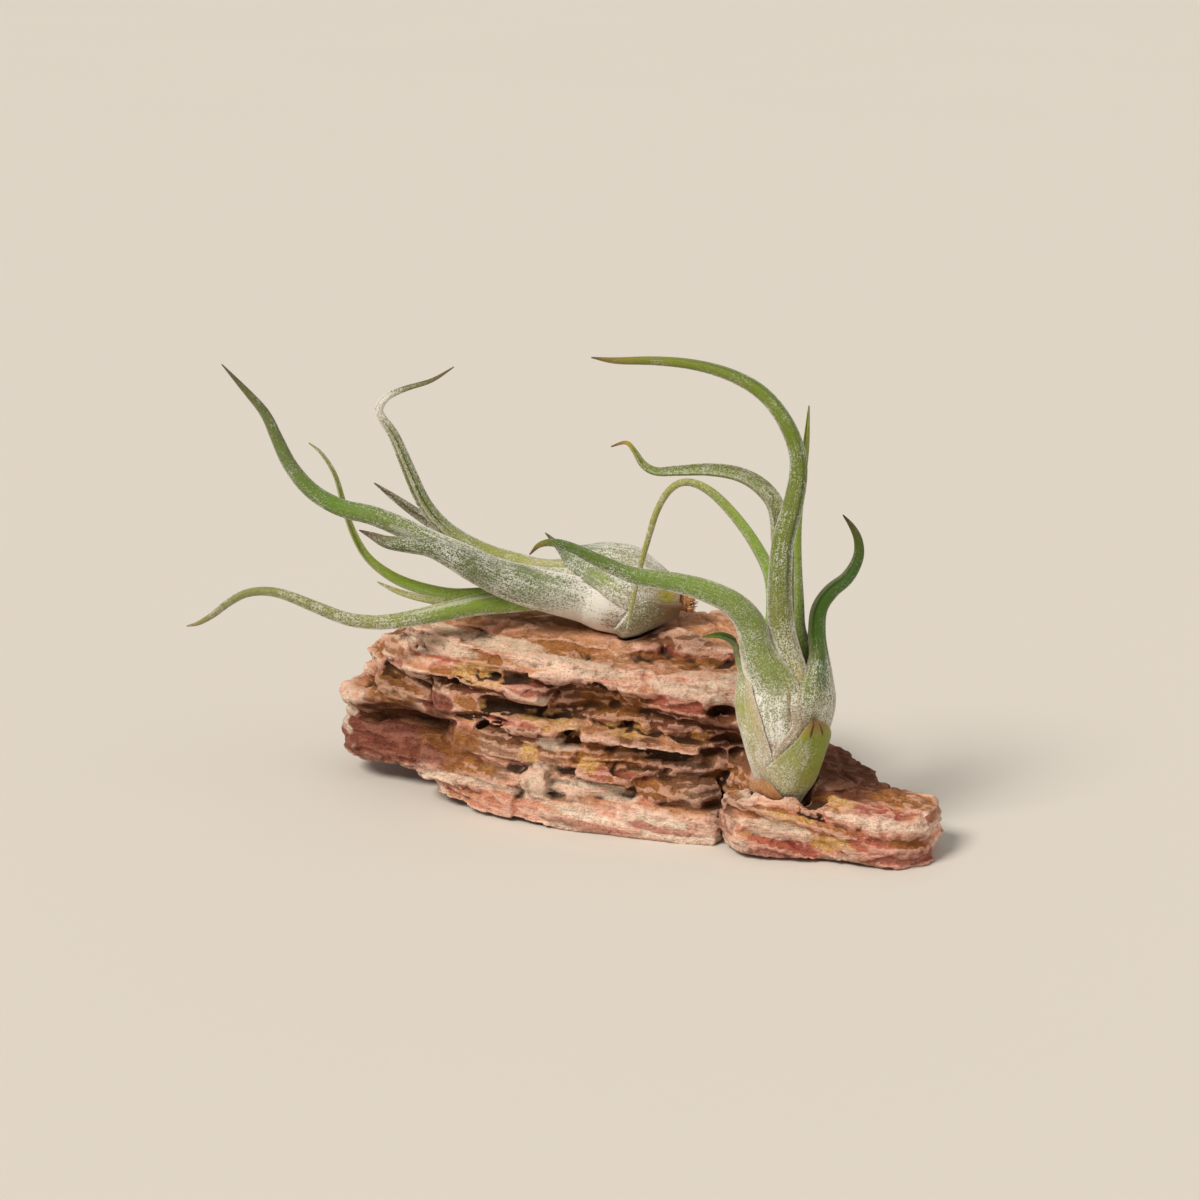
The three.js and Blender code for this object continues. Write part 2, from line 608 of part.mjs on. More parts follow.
// A turned solid on the bulb's axis, from a table of heights and radii.
function turnedSolid(profile, bulb, grow = 0) {
  const frame = bulbFrame(bulb);
  const last = profile.length - 1;
  const outline = profile.map(([height, radius], i) => {
    const end = i === 0 ? -grow : i === last ? grow : 0;
    return new THREE.Vector2(radius + grow, height + end);
  });
  outline.unshift(new THREE.Vector2(0, outline[0].y));
  outline.push(new THREE.Vector2(0, outline[last + 1].y));
  const lathe = new THREE.LatheGeometry(outline, 14);
  const turn = new THREE.Quaternion().setFromUnitVectors(new THREE.Vector3(0, 1, 0), frame.axis);
  lathe.applyQuaternion(turn);
  lathe.translate(frame.foot.x, frame.foot.y, frame.foot.z);
  return solidFrom(lathe);
}

// A plant's solids, from the stem outwards: each piece is cut clear of those that it wraps.
function plantSolids(bulb, leaves, stemProfile, stemName) {
  const made = [{ name: stemName, solid: turnedSolid(stemProfile, bulb), skin: SKINS.dry }];
  let inside = turnedSolid(stemProfile, bulb, GAP);
  for (const leaf of leaves) {
    const whole = leafSolid(leaf, bulb);
    made.push({ name: leaf.name, solid: whole.subtract(inside), skin: SKINS[leaf.skin ?? "leaf"] });
    inside = inside.add(leafSolid(leaf, bulb, GAP));
  }
  return made;
}

// The room that a plant takes in the stone.
function plantRoom(bulb, leaves, stemProfile) {
  const heart = turnedSolid(bulb.profile, bulb, -HEART_DEPTH);
  const stem = turnedSolid(stemProfile, bulb, GAP);
  return leaves.reduce((room, leaf) => room.add(leafSolid(leaf, bulb, GAP, true)), heart.add(stem));
}

// ---------------------------------------------------------------- the stone
// One layer: a ragged plate, broadest a little below its middle.
function layerSolid({ corners, z, dip, lean, seed }) {
  const draw = draws(seed);
  const thickness = z[1] - z[0];
  const middle = new THREE.Vector2();
  for (const corner of corners) middle.add(new THREE.Vector2(...corner));
  middle.divideScalar(corners.length);
  const rim = [];
  corners.forEach((corner, i) => {
    const from = new THREE.Vector2(...corner).sub(middle);
    const to = new THREE.Vector2(...corners[(i + 1) % corners.length]).sub(middle);
    const runs = Math.max(1, Math.round(from.distanceTo(to) / STONE_EDGE));
    for (let k = 0; k < runs; k++) {
      const spot = from.clone().lerp(to, k / runs);
      const away = spot.clone().normalize();
      spot.addScaledVector(away, (draw() - 0.5) * STONE_RAGGED * (k ? 2 : 1));
      const worn = STONE_CHAMFER * (0.4 + 1.2 * draw()) * Math.min(1, thickness / 6);
      rim.push({ spot, away, worn, lift: (draw() - 0.5) * thickness * 0.2 });
    }
  });
  const ring = (share, chamfer) =>
    rim.map(({ spot, away, worn, lift }) => {
      const p = spot.clone().addScaledVector(away, -chamfer * worn);
      return new THREE.Vector3(p.x, p.y, thickness * share + lift * (chamfer ? 0.3 : 1));
    });
  const rings = [ring(-0.5, 1), ring(-0.1, 0), ring(0.5, 1)];
  const flat = rings[0].map((p) => new THREE.Vector2(p.x, p.y));
  const geometry = stackGeometry(rings, () => THREE.ShapeUtils.triangulateShape(flat, []));
  const place = new THREE.Matrix4()
    .makeTranslation(middle.x, middle.y, (z[0] + z[1]) / 2)
    .multiply(new THREE.Matrix4().makeRotationY(radians(dip)))
    .multiply(new THREE.Matrix4().makeRotationX(radians(lean)));
  geometry.applyMatrix4(place);
  return solidFrom(geometry);
}

function hollowSolid({ at, radii }) {
  const ball = new THREE.SphereGeometry(1, 8, 5);
  ball.scale(...radii);
  ball.translate(...at);
  return solidFrom(ball);
}

function stoneSolid(rooms) {
  let stone = STONE_LAYERS.map(layerSolid).reduce((a, b) => a.add(b));
  for (const hollow of STONE_HOLLOWS) stone = stone.subtract(hollowSolid(hollow));
  stone = stone.simplify(STONE_SMOOTHING);
  for (const room of rooms) stone = stone.subtract(room);
  const ground = new THREE.BoxGeometry(400, 400, 40);
  ground.translate(0, 0, -20);
  return stone.subtract(solidFrom(ground));
}

// ---------------------------------------------------------------- assembly
const pieces = [
  ...plantSolids(UPRIGHT_BULB, UPRIGHT_LEAVES, UPRIGHT_STEM, "upright_stem"),
  ...plantSolids(LYING_BULB, LYING_LEAVES, LYING_STEM, "lying_stem"),
  {
    name: "stone",
    solid: stoneSolid([
      plantRoom(UPRIGHT_BULB, UPRIGHT_LEAVES, UPRIGHT_STEM),
      plantRoom(LYING_BULB, LYING_LEAVES, LYING_STEM),
    ]),
    skin: SKINS.stone,
  },
];

const group = new THREE.Group();
for (const { name, solid, skin } of pieces) {
  const mesh = new THREE.Mesh(geometryFrom(solid), new THREE.MeshStandardMaterial(skin));
  mesh.name = name;
  group.add(mesh);
}

export default group;
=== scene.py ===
"""Two medusa head air plants on a layered stone: leaves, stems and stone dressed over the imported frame."""

import math
from itertools import product

import bpy
import numpy as np
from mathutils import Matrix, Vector


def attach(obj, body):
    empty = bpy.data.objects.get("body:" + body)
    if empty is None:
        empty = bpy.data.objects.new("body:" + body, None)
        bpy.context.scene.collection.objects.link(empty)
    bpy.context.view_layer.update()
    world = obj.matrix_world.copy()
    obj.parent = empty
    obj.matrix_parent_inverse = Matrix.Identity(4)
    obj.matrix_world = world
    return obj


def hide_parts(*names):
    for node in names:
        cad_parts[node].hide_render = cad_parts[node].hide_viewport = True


bl_info = {
    "name": "Medusa head air plants",
    "version": (1, 0, 0),
    "blender": (4, 5, 0),
    "location": "3D View > Sidebar > Air plants",
    "description": "Models frosted air plants on a layered stone",
    "category": "Add Mesh",
}

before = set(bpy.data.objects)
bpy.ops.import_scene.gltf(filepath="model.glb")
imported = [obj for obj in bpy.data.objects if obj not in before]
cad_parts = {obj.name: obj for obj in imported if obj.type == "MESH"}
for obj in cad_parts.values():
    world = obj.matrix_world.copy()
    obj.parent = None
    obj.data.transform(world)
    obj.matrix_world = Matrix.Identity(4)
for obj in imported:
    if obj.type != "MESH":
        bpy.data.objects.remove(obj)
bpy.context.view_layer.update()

MM = 0.001

# ---------------------------------------------------------------- the plants
# Lengths are in mm, unless a comment says otherwise.
SHEATH_STEPS = 8  # control sections along a sheath
SECTIONS_PER_STEP = 4  # modelled sections between two control sections
LEAF_SIDES = 16  # faces round the outside of a leaf
TIP_RADIUS = 0.18
MARGIN_THINNING = 0.65  # share of the thickness lost at a leaf's margins
MARGIN_TUCK = 0.9  # share of that loss by which a sheath's margins press into what they wrap
THINNEST_CORE = 0.22  # a rolled leaf's channel is at least this share of its radius
FULLEST_CURL = math.radians(168)  # half the angle of a rolled section, at most
SWELL = 0.018  # how far a leaf's radius wanders, as a share of it
# Painted sheen: a leaf gets more silver scales where it turns edge-on to SHEEN_FRONT, near the view from the
# front, and the fewest where it faces it; partly the leaves' own frost.
SHEEN_FRONT = np.array((-0.05, -0.91, 0.4))  # the side of the leaves that carries the fewest scales
BACK_SHARE = 0.5  # how much of that holds on the opposite side
FOOT_SIDES = 28  # faces round a woody foot
CORE_RADIUS = 2.6  # the pale middle of a foot's end
FURROW_SIZE = (0.0011, 0.0011, 0.006)  # in metres, across and along a foot
FURROW_DEPTH = 0.14  # as a share of its radius

# A bulb: its foot and its neck, where azimuths are counted from, and its radius at heights along its axis.
BULBS = {
    "upright": {
        "foot": (45.4, -45, 13.5),
        "neck": (46, -45, 70),
        "zero": (1, 0, 0),
        "profile": [
            (0, 6), (4, 7.8), (9, 11), (16, 13.6), (23, 15.6), (30, 17.6), (37, 18.2), (44, 17.6),
            (50, 16.6), (57, 15.6),
        ],
    },
    "lying": {
        "foot": (16.4, 4, 68.6),
        "neck": (-40, 0, 78.4),
        "zero": (0, 0, 1),
        "profile": [
            (0, 4.2), (4, 6), (9, 9.4), (16, 13.8), (22, 16.2), (30, 16), (38, 13.9), (45, 11.3),
            (52, 9.4), (58, 8),
        ],
    },
}


def grow(node, **settings):
    """A leaf's settings: its own, and the usual ones where it gives none. Lengths are in mm.

    azimuth: the side of the bulb that its sheath lies on; wraps: half the angle that it covers; layer: how
    deep it lies under the bulb's surface; each one number, or a list from foot to top. share: 1 for a sheath
    centred on the axis, less for an inner leaf beside it. sheath: where it starts and ends on the axis.
    blade: x, y, z and width out to its tip. curl: half the angle of the rolled blade's section. hues and
    frost: colour and cover of the silver scales, by share of the way from foot to tip. patches: where they
    lie across and along, their half sizes, colour and strength. rim: strength of the margins' colour, from
    rim_from on. bloom: more scales where the leaf turns edge-on to the front, partly its own frost
    and partly a painted sheen at its silhouettes. veiled: more on one half. fibrous: how streaky.
    """
    bulb, kind, place = node.split("_", 2)
    usual = {
        "name": f"{place}_{kind}", "node": node, "bulb": bulb, "skin": "leaf_green", "share": 1, "twist": 0,
        "thickness": 0.9, "rim": 0.2, "rim_from": 0.7, "bloom": 0.3, "patches": [], "veiled": 0, "fibrous": 0,
    }
    return usual | settings


LEAVES = [
    grow(
        "upright_leaf_tall_arch", azimuth=285, wraps=[150], layer=5.4, share=0.385, sheath=(7, 50), curl=150,
        twist=-40, thickness=1.5, rim=0.15, bloom=0.5,
        hues={
            0: "A39A6A", 0.34: "C0AE60", 0.4: "929044", 0.5: "768030", 0.66: "6A7822", 0.75: "768828",
            0.9: "80882A", 0.96: "8E7C30", 1: "5A4322",
        },
        frost={0: 0.7, 0.36: 0.54, 0.44: 0.4, 0.55: 0.28, 0.75: 0.14, 0.92: 0.08, 1: 0},
        patches=[(0.6, 0.56, 0.04, 0.14, "3C5520", 0.7), (0.66, 0.8, 0.05, 0.12, "42582A", 0.5)],
        blade=[
            (44.3, -52.8, 74, 8.8), (43, -55, 83, 8.4), (42.6, -57, 94, 7.7), (43.3, -57, 106.5, 7.2),
            (46, -56.2, 117, 6.7), (47.8, -55, 127.8, 5.9), (46.8, -53.5, 136.5, 5.4), (42.2, -52, 146, 4.9),
            (35, -50.5, 153.6, 4.5), (25, -49, 158.5, 3.9), (14, -47.5, 161, 3.3), (2.5, -46, 161.7, 2.8),
            (-9, -44.5, 161.4, 2.1), (-16.7, -43, 162.1, 0.4),
        ],
    ),
    grow(
        "upright_leaf_inner_spike", azimuth=20, wraps=[140], layer=5.4, share=0.385, sheath=(8, 50), curl=145,
        twist=20, thickness=1.4, bloom=0.4,
        hues={0: "8A944C", 0.5: "7C9236", 0.85: "92A83E", 1: "A0A648"},
        frost={0: 0.5, 0.5: 0.3, 1: 0.1},
        blade=[
            (49.7, -42, 72, 5.6), (49.3, -40.4, 82, 4.6), (48.8, -39, 95, 3.8), (48.8, -38, 106, 3.4),
            (49.8, -37, 118, 2.9), (51.2, -38, 132, 2.3), (51.8, -40, 146.2, 0.5),
        ],
    ),
    grow(
        "upright_leaf_hanging", azimuth=200, wraps=[140], layer=5.4, share=0.385, sheath=(9, 50), curl=140,
        twist=-30, thickness=1.2, bloom=0.4,
        hues={0: "98A04E", 0.4: "7EA834", 0.6: "96B046", 0.72: "A8A850", 0.9: "ACA654", 1: "BEB870"},
        frost={0: 0.5, 0.4: 0.12, 0.6: 0.2, 0.75: 0.36, 0.9: 0.3, 1: 0.45},
        patches=[(0.34, 0.5, 0.05, 0.16, "47602A", 0.6), (0.62, 0.6, 0.04, 0.12, "C2C48A", 0.5)],
        blade=[
            (41.5, -43.4, 72.4, 6.2), (42, -41, 82, 5.4), (40.6, -39, 91, 4.8), (35.8, -37.4, 100.3, 4.2),
            (29.8, -36, 108.6, 3.8), (22, -34.8, 116.6, 3.4), (14.5, -34, 119.9, 2.9), (8.8, -34, 117.8, 2.7),
            (4.5, -34, 111, 2.5), (1.6, -34, 101.5, 2.3), (-1.4, -34, 90, 2), (-3.8, -34, 77.7, 1.6),
            (-5.2, -34, 70.3, 0.5),
        ],
    ),
    grow(
        "upright_leaf_curled_tip", azimuth=108, wraps=[68, 64, 56, 46], layer=3, sheath=(8, 48), curl=106,
        twist=55, thickness=0.65, rim=0.25,
        hues={
            0: "A8A070", 0.35: "98A04A", 0.6: "9AA24A", 0.8: "8A9C3E", 0.9: "A2A844", 0.95: "C8AE3E",
            1: "7A3E20",
        },
        frost={0: 0.8, 0.35: 0.5, 0.6: 0.42, 0.85: 0.3, 0.94: 0.06, 1: 0},
        patches=[(0.86, 0.72, 0.05, 0.2, "3E4C26", 0.65), (0.72, 0.68, 0.06, 0.16, "B4B48A", 0.5)],
        blade=[
            (46.3, -36, 70.5, 7.2), (45.4, -33, 82, 7.1), (44.6, -31.6, 96, 6.7), (43, -31, 110, 6.1),
            (38, -31, 117.3, 5.7), (30.5, -31, 121.6, 4.9), (21, -30.5, 123, 4.3), (11, -29.6, 122.4, 3.6),
            (4, -28.8, 122, 3.1), (0, -28.2, 124.2, 2.8), (-2.4, -28, 128, 2.1), (-5.4, -28, 131.3, 1.5),
            (-10.4, -28, 129.8, 0.5),
        ],
    ),
    grow(
        "upright_leaf_front", azimuth=243, wraps=[70, 64, 54, 44], layer=3, sheath=(8, 44), curl=128,
        thickness=1, rim=0.45, bloom=0.55,
        hues={
            0: "C4A68C", 0.16: "B4AA8A", 0.4: "A0A074", 0.43: "88924C", 0.5: "8A9A48", 0.6: "869A46",
            0.7: "78903A", 0.77: "627628", 0.9: "4A6610", 0.955: "8A7A20", 1: "4A2812",
        },
        frost={
            0: 0.5, 0.18: 0.62, 0.405: 0.68, 0.435: 0.44, 0.48: 0.36, 0.55: 0.3, 0.8: 0.24, 0.92: 0.04, 1: 0,
        },
        patches=[(0.8, 0.3, 0.07, 0.22, "A07C5C", 0.6), (0.6, 0.17, 0.3, 0.06, "C09078", 0.7)],
        blade=[
            (37, -52.2, 69, 13), (33.6, -56, 79.2, 9.9), (28, -59.4, 86.9, 8.3), (19, -61, 91.9, 7.5),
            (9, -60.8, 94.6, 6.5), (-3.1, -60, 96.4, 5.6), (-13, -58.5, 100.2, 4.6), (-21.3, -57, 104, 3.6),
            (-27.6, -55.8, 105.8, 2.8), (-32.6, -55, 105, 1.9), (-36, -55, 101.6, 0.4),
        ],
    ),
    grow(
        "upright_leaf_right", azimuth=350, wraps=[108, 106, 100, 76, 78], layer=1.9, sheath=(4, 42), curl=118,
        twist=-20, rim=0.5,
        hues={
            0: "CCA684", 0.16: "B89C74", 0.3: "A69664", 0.42: "94905A", 0.52: "6C7A36", 0.58: "4A6E12",
            0.8: "3C600A", 0.92: "565A14", 1: "5A2E16",
        },
        frost={0: 0.4, 0.2: 0.5, 0.3: 0.54, 0.46: 0.56, 0.54: 0.36, 0.6: 0.1, 0.8: 0.04, 1: 0},
        patches=[
            (0.08, 0.16, 0.2, 0.1, "C49478", 0.8), (0.06, 0.33, 0.08, 0.16, "8A6A48", 0.6),
            (0.13, 0.7, 0.03, 0.16, "1E3208", 0.8), (0.28, 0.52, 0.1, 0.05, "34502A", 0.6),
        ],
        blade=[
            (54, -45.5, 64.5, 11.6), (54.7, -45.4, 73, 7.4), (55.4, -44.8, 81, 6.9), (59.2, -44, 86.8, 6.4),
            (64.6, -43, 91, 5.5), (68, -41.8, 97, 4.4), (68, -41, 102.5, 3.4), (66, -41, 107, 2.2),
            (63.1, -41, 110.9, 0.4),
        ],
    ),
    grow(
        "upright_leaf_small_left", azimuth=187, wraps=[72, 68, 61, 51, 34], layer=1.9, sheath=(3, 45),
        curl=105, rim=0.8, rim_from=0.35, bloom=0.35,
        hues={
            0: "D0B498", 0.2: "C0AC7A", 0.34: "AAA84C", 0.6: "9CA246", 0.72: "748A2A", 0.85: "4E7A1C",
            1: "7E903A",
        },
        frost={0: 0.5, 0.25: 0.42, 0.4: 0.3, 0.6: 0.24, 0.75: 0.06, 1: 0},
        blade=[
            (31.8, -45.6, 65, 5.2), (29.9, -47.5, 70, 3.9), (26.8, -50, 73.1, 3), (23.1, -51.5, 74.2, 2.1),
            (18.4, -52, 73.6, 0.5),
        ],
    ),
    grow(
        "upright_sheath_lower", skin="sheath_frosted", azimuth=[304, 304, 305, 307, 310, 309, 304],
        wraps=[80, 80, 76, 69, 48, 30, 13], layer=0.6, sheath=(1.5, 33), curl=10, thickness=1.1, rim=0.35,
        bloom=0.1, veiled=0.3,
        hues={
            0: "B0A27C", 0.2: "AAA45A", 0.42: "949C2E", 0.72: "8A9A26", 0.8: "989638", 0.87: "A2843E",
            0.95: "A27C4A", 1: "6A4020",
        },
        frost={0: 0.4, 0.2: 0.26, 0.42: 0.06, 0.7: 0.02, 1: 0},
        patches=[
            (0.2, 0.4, 0.24, 0.36, "B4B074", 0.7), (0.1, 0.3, 0.14, 0.2, "C4B68E", 0.7),
            (0.28, 0.86, 0.05, 0.12, "3A2010", 0.9), (0.62, 0.84, 0.05, 0.1, "3A2010", 0.8),
        ],
        blade=[(53.2, -61.4, 50, 1.2)],
    ),
    grow(
        "upright_sheath_dry", skin="dry_fibre", azimuth=[225, 224, 222, 236], wraps=[76, 62, 42, 12],
        layer=[-2.9, -1.1, -0.7], sheath=(-2, 12.5), curl=18, thickness=0.6, bloom=0, fibrous=0.75,
        hues={0: "B47A46", 0.4: "DCA266", 0.75: "E4B078", 0.92: "ECC498", 1: "D4AC86"},
        frost={0: 0, 0.7: 0.06, 1: 0.2},
        blade=[(38.5, -56.1, 27.6, 1.2)],
    ),
    grow(
        "lying_leaf_long_upper", azimuth=308, wraps=[150], layer=4.2, share=0.385, sheath=(8, 36), curl=145,
        twist=30, thickness=1.6, rim=0.15, bloom=0.5,
        hues={
            0: "C0BA7C", 0.36: "B4B05C", 0.46: "9C9E5A", 0.58: "86924A", 0.68: "768C3A", 0.74: "6A8A28",
            0.8: "6E803A", 0.92: "62692E", 1: "5C4828",
        },
        frost={0: 0.7, 0.36: 0.46, 0.5: 0.56, 0.6: 0.5, 0.66: 0.3, 0.72: 0.06, 0.8: 0.2, 0.9: 0.12, 1: 0.05},
        patches=[
            (0.1, 0.66, 0.045, 0.12, "3A3C1E", 0.85), (0.06, 0.8, 0.05, 0.12, "3E4C26", 0.7),
            (0.3, 0.62, 0.08, 0.03, "D2D0BC", 0.6),
        ],
        blade=[
            (-33, -4.8, 79, 7.8), (-47, -7, 82.4, 8), (-58, -8.4, 87.6, 8), (-68, -9, 92.3, 7.6),
            (-78.2, -9.4, 97.5, 7), (-88.5, -10, 102.1, 6.5), (-98.6, -10, 104.6, 6), (-107.8, -10, 110, 5.5),
            (-114.6, -10, 118.2, 4.9), (-118.8, -9.5, 127, 4.2), (-122.8, -8.6, 136, 3.4),
            (-129.3, -7, 143.6, 2.3), (-137.1, -4, 151.6, 0.4),
        ],
    ),
    grow(
        "lying_leaf_curled_back", azimuth=40, wraps=[150], layer=4.2, share=0.385, sheath=(8, 36), curl=140,
        twist=-35, thickness=1.5, rim=0.25, bloom=0.4,
        hues={
            0: "CCC29A", 0.34: "CCC080", 0.44: "B4B25E", 0.55: "98A052", 0.7: "828C40", 0.79: "C0B498",
            0.86: "CCC0A4", 0.91: "8C8A58", 1: "6E5C38",
        },
        frost={0: 0.7, 0.36: 0.6, 0.45: 0.3, 0.6: 0.36, 0.74: 0.4, 0.79: 0.9, 0.86: 0.95, 0.91: 0.3, 1: 0.1},
        patches=[(0.14, 0.68, 0.03, 0.12, "2E3E1A", 0.8), (0.05, 0.68, 0.03, 0.14, "D8D4B8", 0.6)],
        blade=[
            (-32, 4.6, 78.8, 8), (-42, 5, 81, 8), (-51, 5, 84, 7.4), (-58.5, 4.5, 88.2, 6.5),
            (-66, 4, 94, 5.7), (-72.4, 2.6, 102.6, 5.2), (-77, 1, 114, 4.8), (-81.8, 0.4, 126.4, 4),
            (-85.4, 0, 132, 3.5), (-86.6, 0, 135.6, 3.2), (-83.6, 0, 139.8, 2.6), (-77.1, 0, 142.7, 2),
            (-69, 0, 145.2, 1.5), (-61.5, 0, 149.8, 0.4),
        ],
    ),
    grow(
        "lying_leaf_lower_long", azimuth=225, wraps=[150], layer=4.2, share=0.385, sheath=(8, 36), curl=140,
        twist=-30, thickness=1.5, rim=0.15, bloom=0.45,
        hues={0: "98A03C", 0.42: "84A034", 0.52: "84983C", 0.62: "98984E", 0.9: "8C8E50", 1: "B09668"},
        frost={0: 0.3, 0.4: 0.12, 0.5: 0.2, 0.6: 0.42, 0.75: 0.34, 0.9: 0.26, 1: 0.2},
        patches=[(0.86, 0.5, 0.05, 0.08, "D6D4BC", 0.6)],
        blade=[
            (-32, -3.6, 71.6, 7.6), (-44, -4.4, 71, 8), (-54.8, -6.2, 70.4, 7.6), (-65, -8.4, 68.8, 6.8),
            (-75.9, -9.5, 66.8, 6), (-86.5, -10, 65.5, 5.4), (-97.1, -10, 66.5, 5), (-107.6, -10, 70.6, 4.5),
            (-118, -10, 75, 3.9), (-125, -10, 76.3, 3.4), (-131.4, -10, 75.4, 3.1), (-137.2, -10, 72.2, 2.9),
            (-142.3, -10, 68.1, 2.4), (-147.3, -10, 65.1, 1.7), (-151.4, -10, 64, 0.5),
        ],
    ),
    grow(
        "lying_leaf_spike", name="short_spike_leaf", azimuth=60, wraps=[130], layer=9, share=0.5,
        sheath=(30, 44), curl=125, thickness=1.2,
        hues={0: "A0A66C", 0.6: "9C9C6C", 1: "8A7858"},
        frost={0: 0.6, 0.8: 0.5, 1: 0.3},
        blade=[
            (-50, 11, 83.4, 4), (-62, 11, 89, 4.2), (-71.5, 10.6, 94.4, 4), (-80.7, 9, 101.6, 3),
            (-89.3, 7, 108.8, 0.5),
        ],
    ),
    grow(
        "lying_leaf_rear_short", azimuth=170, wraps=[130], layer=8, share=0.5, sheath=(42, 48), curl=125,
        thickness=1.2, rim=0.3, bloom=0.2,
        hues={0: "A8B440", 0.6: "B8C050", 1: "C8C478"},
        frost={0: 0.3, 1: 0.3},
        blade=[
            (-46, 2, 69, 3), (-58, 2, 68.6, 3.2), (-67.8, 3, 68.8, 3), (-76, 5.4, 69.6, 2.7), (-83, 8, 71, 2),
            (-89.4, 10, 73.5, 0.5),
        ],
    ),
    grow(
        "lying_leaf_rear_long", azimuth=120, wraps=[54, 54, 50, 46], layer=1.4, sheath=(7, 38), curl=104,
        twist=40, thickness=0.65, bloom=0.25,
        hues={0: "B8B47A", 0.35: "A8B448", 0.6: "98B23A", 0.85: "B0BC56", 1: "C8C484"},
        frost={0: 0.8, 0.35: 0.26, 0.6: 0.12, 1: 0.2},
        blade=[
            (-32, 5.6, 71.6, 6.6), (-44, 7, 70.6, 5.4), (-56, 8, 69.6, 4.7), (-66, 11.6, 68.7, 4.4),
            (-78.1, 15.5, 70.6, 4.1), (-86.6, 17.2, 74.4, 3.6), (-93.6, 18.6, 80.4, 3),
            (-98.2, 19, 89.6, 2.6), (-100.8, 19, 99, 2.2), (-103.2, 18.4, 108.6, 1.8),
            (-107.4, 17, 116.4, 1.3), (-111.6, 16, 120.3, 0.5),
        ],
    ),
    grow(
        "lying_leaf_front_short", azimuth=238, wraps=[76, 70, 64, 60], layer=1.4, sheath=(7, 38), curl=112,
        twist=40, rim=0.4,
        hues={
            0: "B8987E", 0.16: "C8A68C", 0.32: "DCDAD0", 0.44: "B0B298", 0.53: "7E885A", 0.75: "646C42",
            0.86: "6E7840", 0.95: "6E583C", 1: "4A3024",
        },
        frost={
            0: 0.5, 0.16: 0.7, 0.26: 0.9, 0.42: 0.94, 0.48: 0.7, 0.55: 0.5, 0.66: 0.46, 0.8: 0.42, 0.92: 0.3,
            1: 0.05,
        },
        # The first patch paints shade, warmed by light thrown up from the stone, on the underside of the
        # lying bulb.
        patches=[
            (0.4, 0.25, 0.36, 0.1, "A07858", 0.82), (0.86, 0.53, 0.1, 0.08, "7E8A54", 0.6),
            (0.3, 0.86, 0.2, 0.05, "3C4C2A", 0.6),
        ],
        blade=[
            (-33, -5, 76.4, 17), (-41, -8, 78.4, 14), (-49, -11, 81.8, 11.6), (-56, -13.4, 85.8, 9.9),
            (-62.6, -15, 89.7, 8.1), (-69.4, -16, 92.8, 6.3), (-76.3, -16.5, 93.9, 5.5),
            (-83.3, -16.5, 94.8, 4.4), (-88.1, -16, 96.8, 2.6), (-92.7, -15.5, 98.7, 0.4),
        ],
    ),
    grow(
        "lying_leaf_top_short", azimuth=350, wraps=[100, 98, 84, 58], layer=0.3, sheath=(4, 38), curl=62,
        rim=0.35, bloom=0.2,
        hues={
            0: "C4A68A", 0.1: "B4AE56", 0.22: "BEB28E", 0.5: "A8A47C", 0.7: "8E966A", 0.88: "6E7A50",
            1: "5E523E",
        },
        frost={0: 0.2, 0.12: 0.3, 0.26: 0.66, 0.42: 0.56, 0.66: 0.5, 0.92: 0.42, 1: 0.1},
        patches=[
            (0.14, 0.66, 0.05, 0.16, "94A24C", 0.75), (0.2, 0.13, 0.13, 0.09, "B8AA3A", 0.95),
            (0.1, 0.24, 0.08, 0.05, "D6CE9C", 0.6), (0.3, 0.1, 0.05, 0.05, "C08A4E", 0.6),
        ],
        blade=[(-26.4, 4.6, 83, 9.6), (-32.4, 6.4, 91.6, 0.7)],
    ),
    grow(
        "lying_sheath_base", skin="sheath_frosted", azimuth=[208, 213, 228, 235], wraps=[66, 60, 52, 35],
        layer=-0.7, sheath=(3.2, 21), curl=40, rim=0.3, bloom=0.1,
        hues={0: "74502E", 0.2: "7C6038", 0.45: "86784A", 0.7: "8E8C5A", 1: "A0A474"},
        frost={0: 0.02, 0.25: 0.14, 0.5: 0.36, 0.8: 0.5, 1: 0.7},
        patches=[(0.95, 0.3, 0.06, 0.2, "7A4A28", 0.8)],
        blade=[(-9.1, -11.6, 64.2, 3)],
    ),
]

# A woody foot: heights along the bulb's axis and radii.
STEMS = [
    {"name": "upright_foot", "node": "upright_stem", "bulb": "upright",
     "profile": [(-3.2, 4.4), (-2, 5.4), (-0.6, 5.8), (2, 4.4), (6, 2.4)], "fibres": 26, "fibre_length": 2.4},
    {"name": "lying_foot", "node": "lying_stem", "bulb": "lying",
     "profile": [(-0.6, 2.6), (0, 3.4), (1, 3.8), (4, 3.6), (7, 2.4)], "fibres": 120, "fibre_length": 3},
]

# ---------------------------------------------------------------- the stone
STONE_FACES = 190000  # triangles at most
BED_DIP = 0.08  # how fast the beds fall towards +X
BED_LEAN = -0.07  # and how fast they rise towards the back
BLOCK_DIP = 0.2  # the beds of the front block fall faster
BLOCK_START = (26, -34)  # it lies right of the first and before the second
# On the sides: thickness of a bed, length and depth of its shards, their relief and lip in mm, and a seed.
LEDGES = [(6.2, (32, 15), 1.2, 1.1, 11), (2.7, (15, 8), 0.7, 0.3, 12), (1.2, (7, 4), 0.25, 0.1, 13)]
# Angular lumps that run across the beds: their size, how far they stand in or out, and a seed.
LUMPS = [((23, 16, 10), 0.9, 21), ((9, 7, 5), 0.5, 22)]
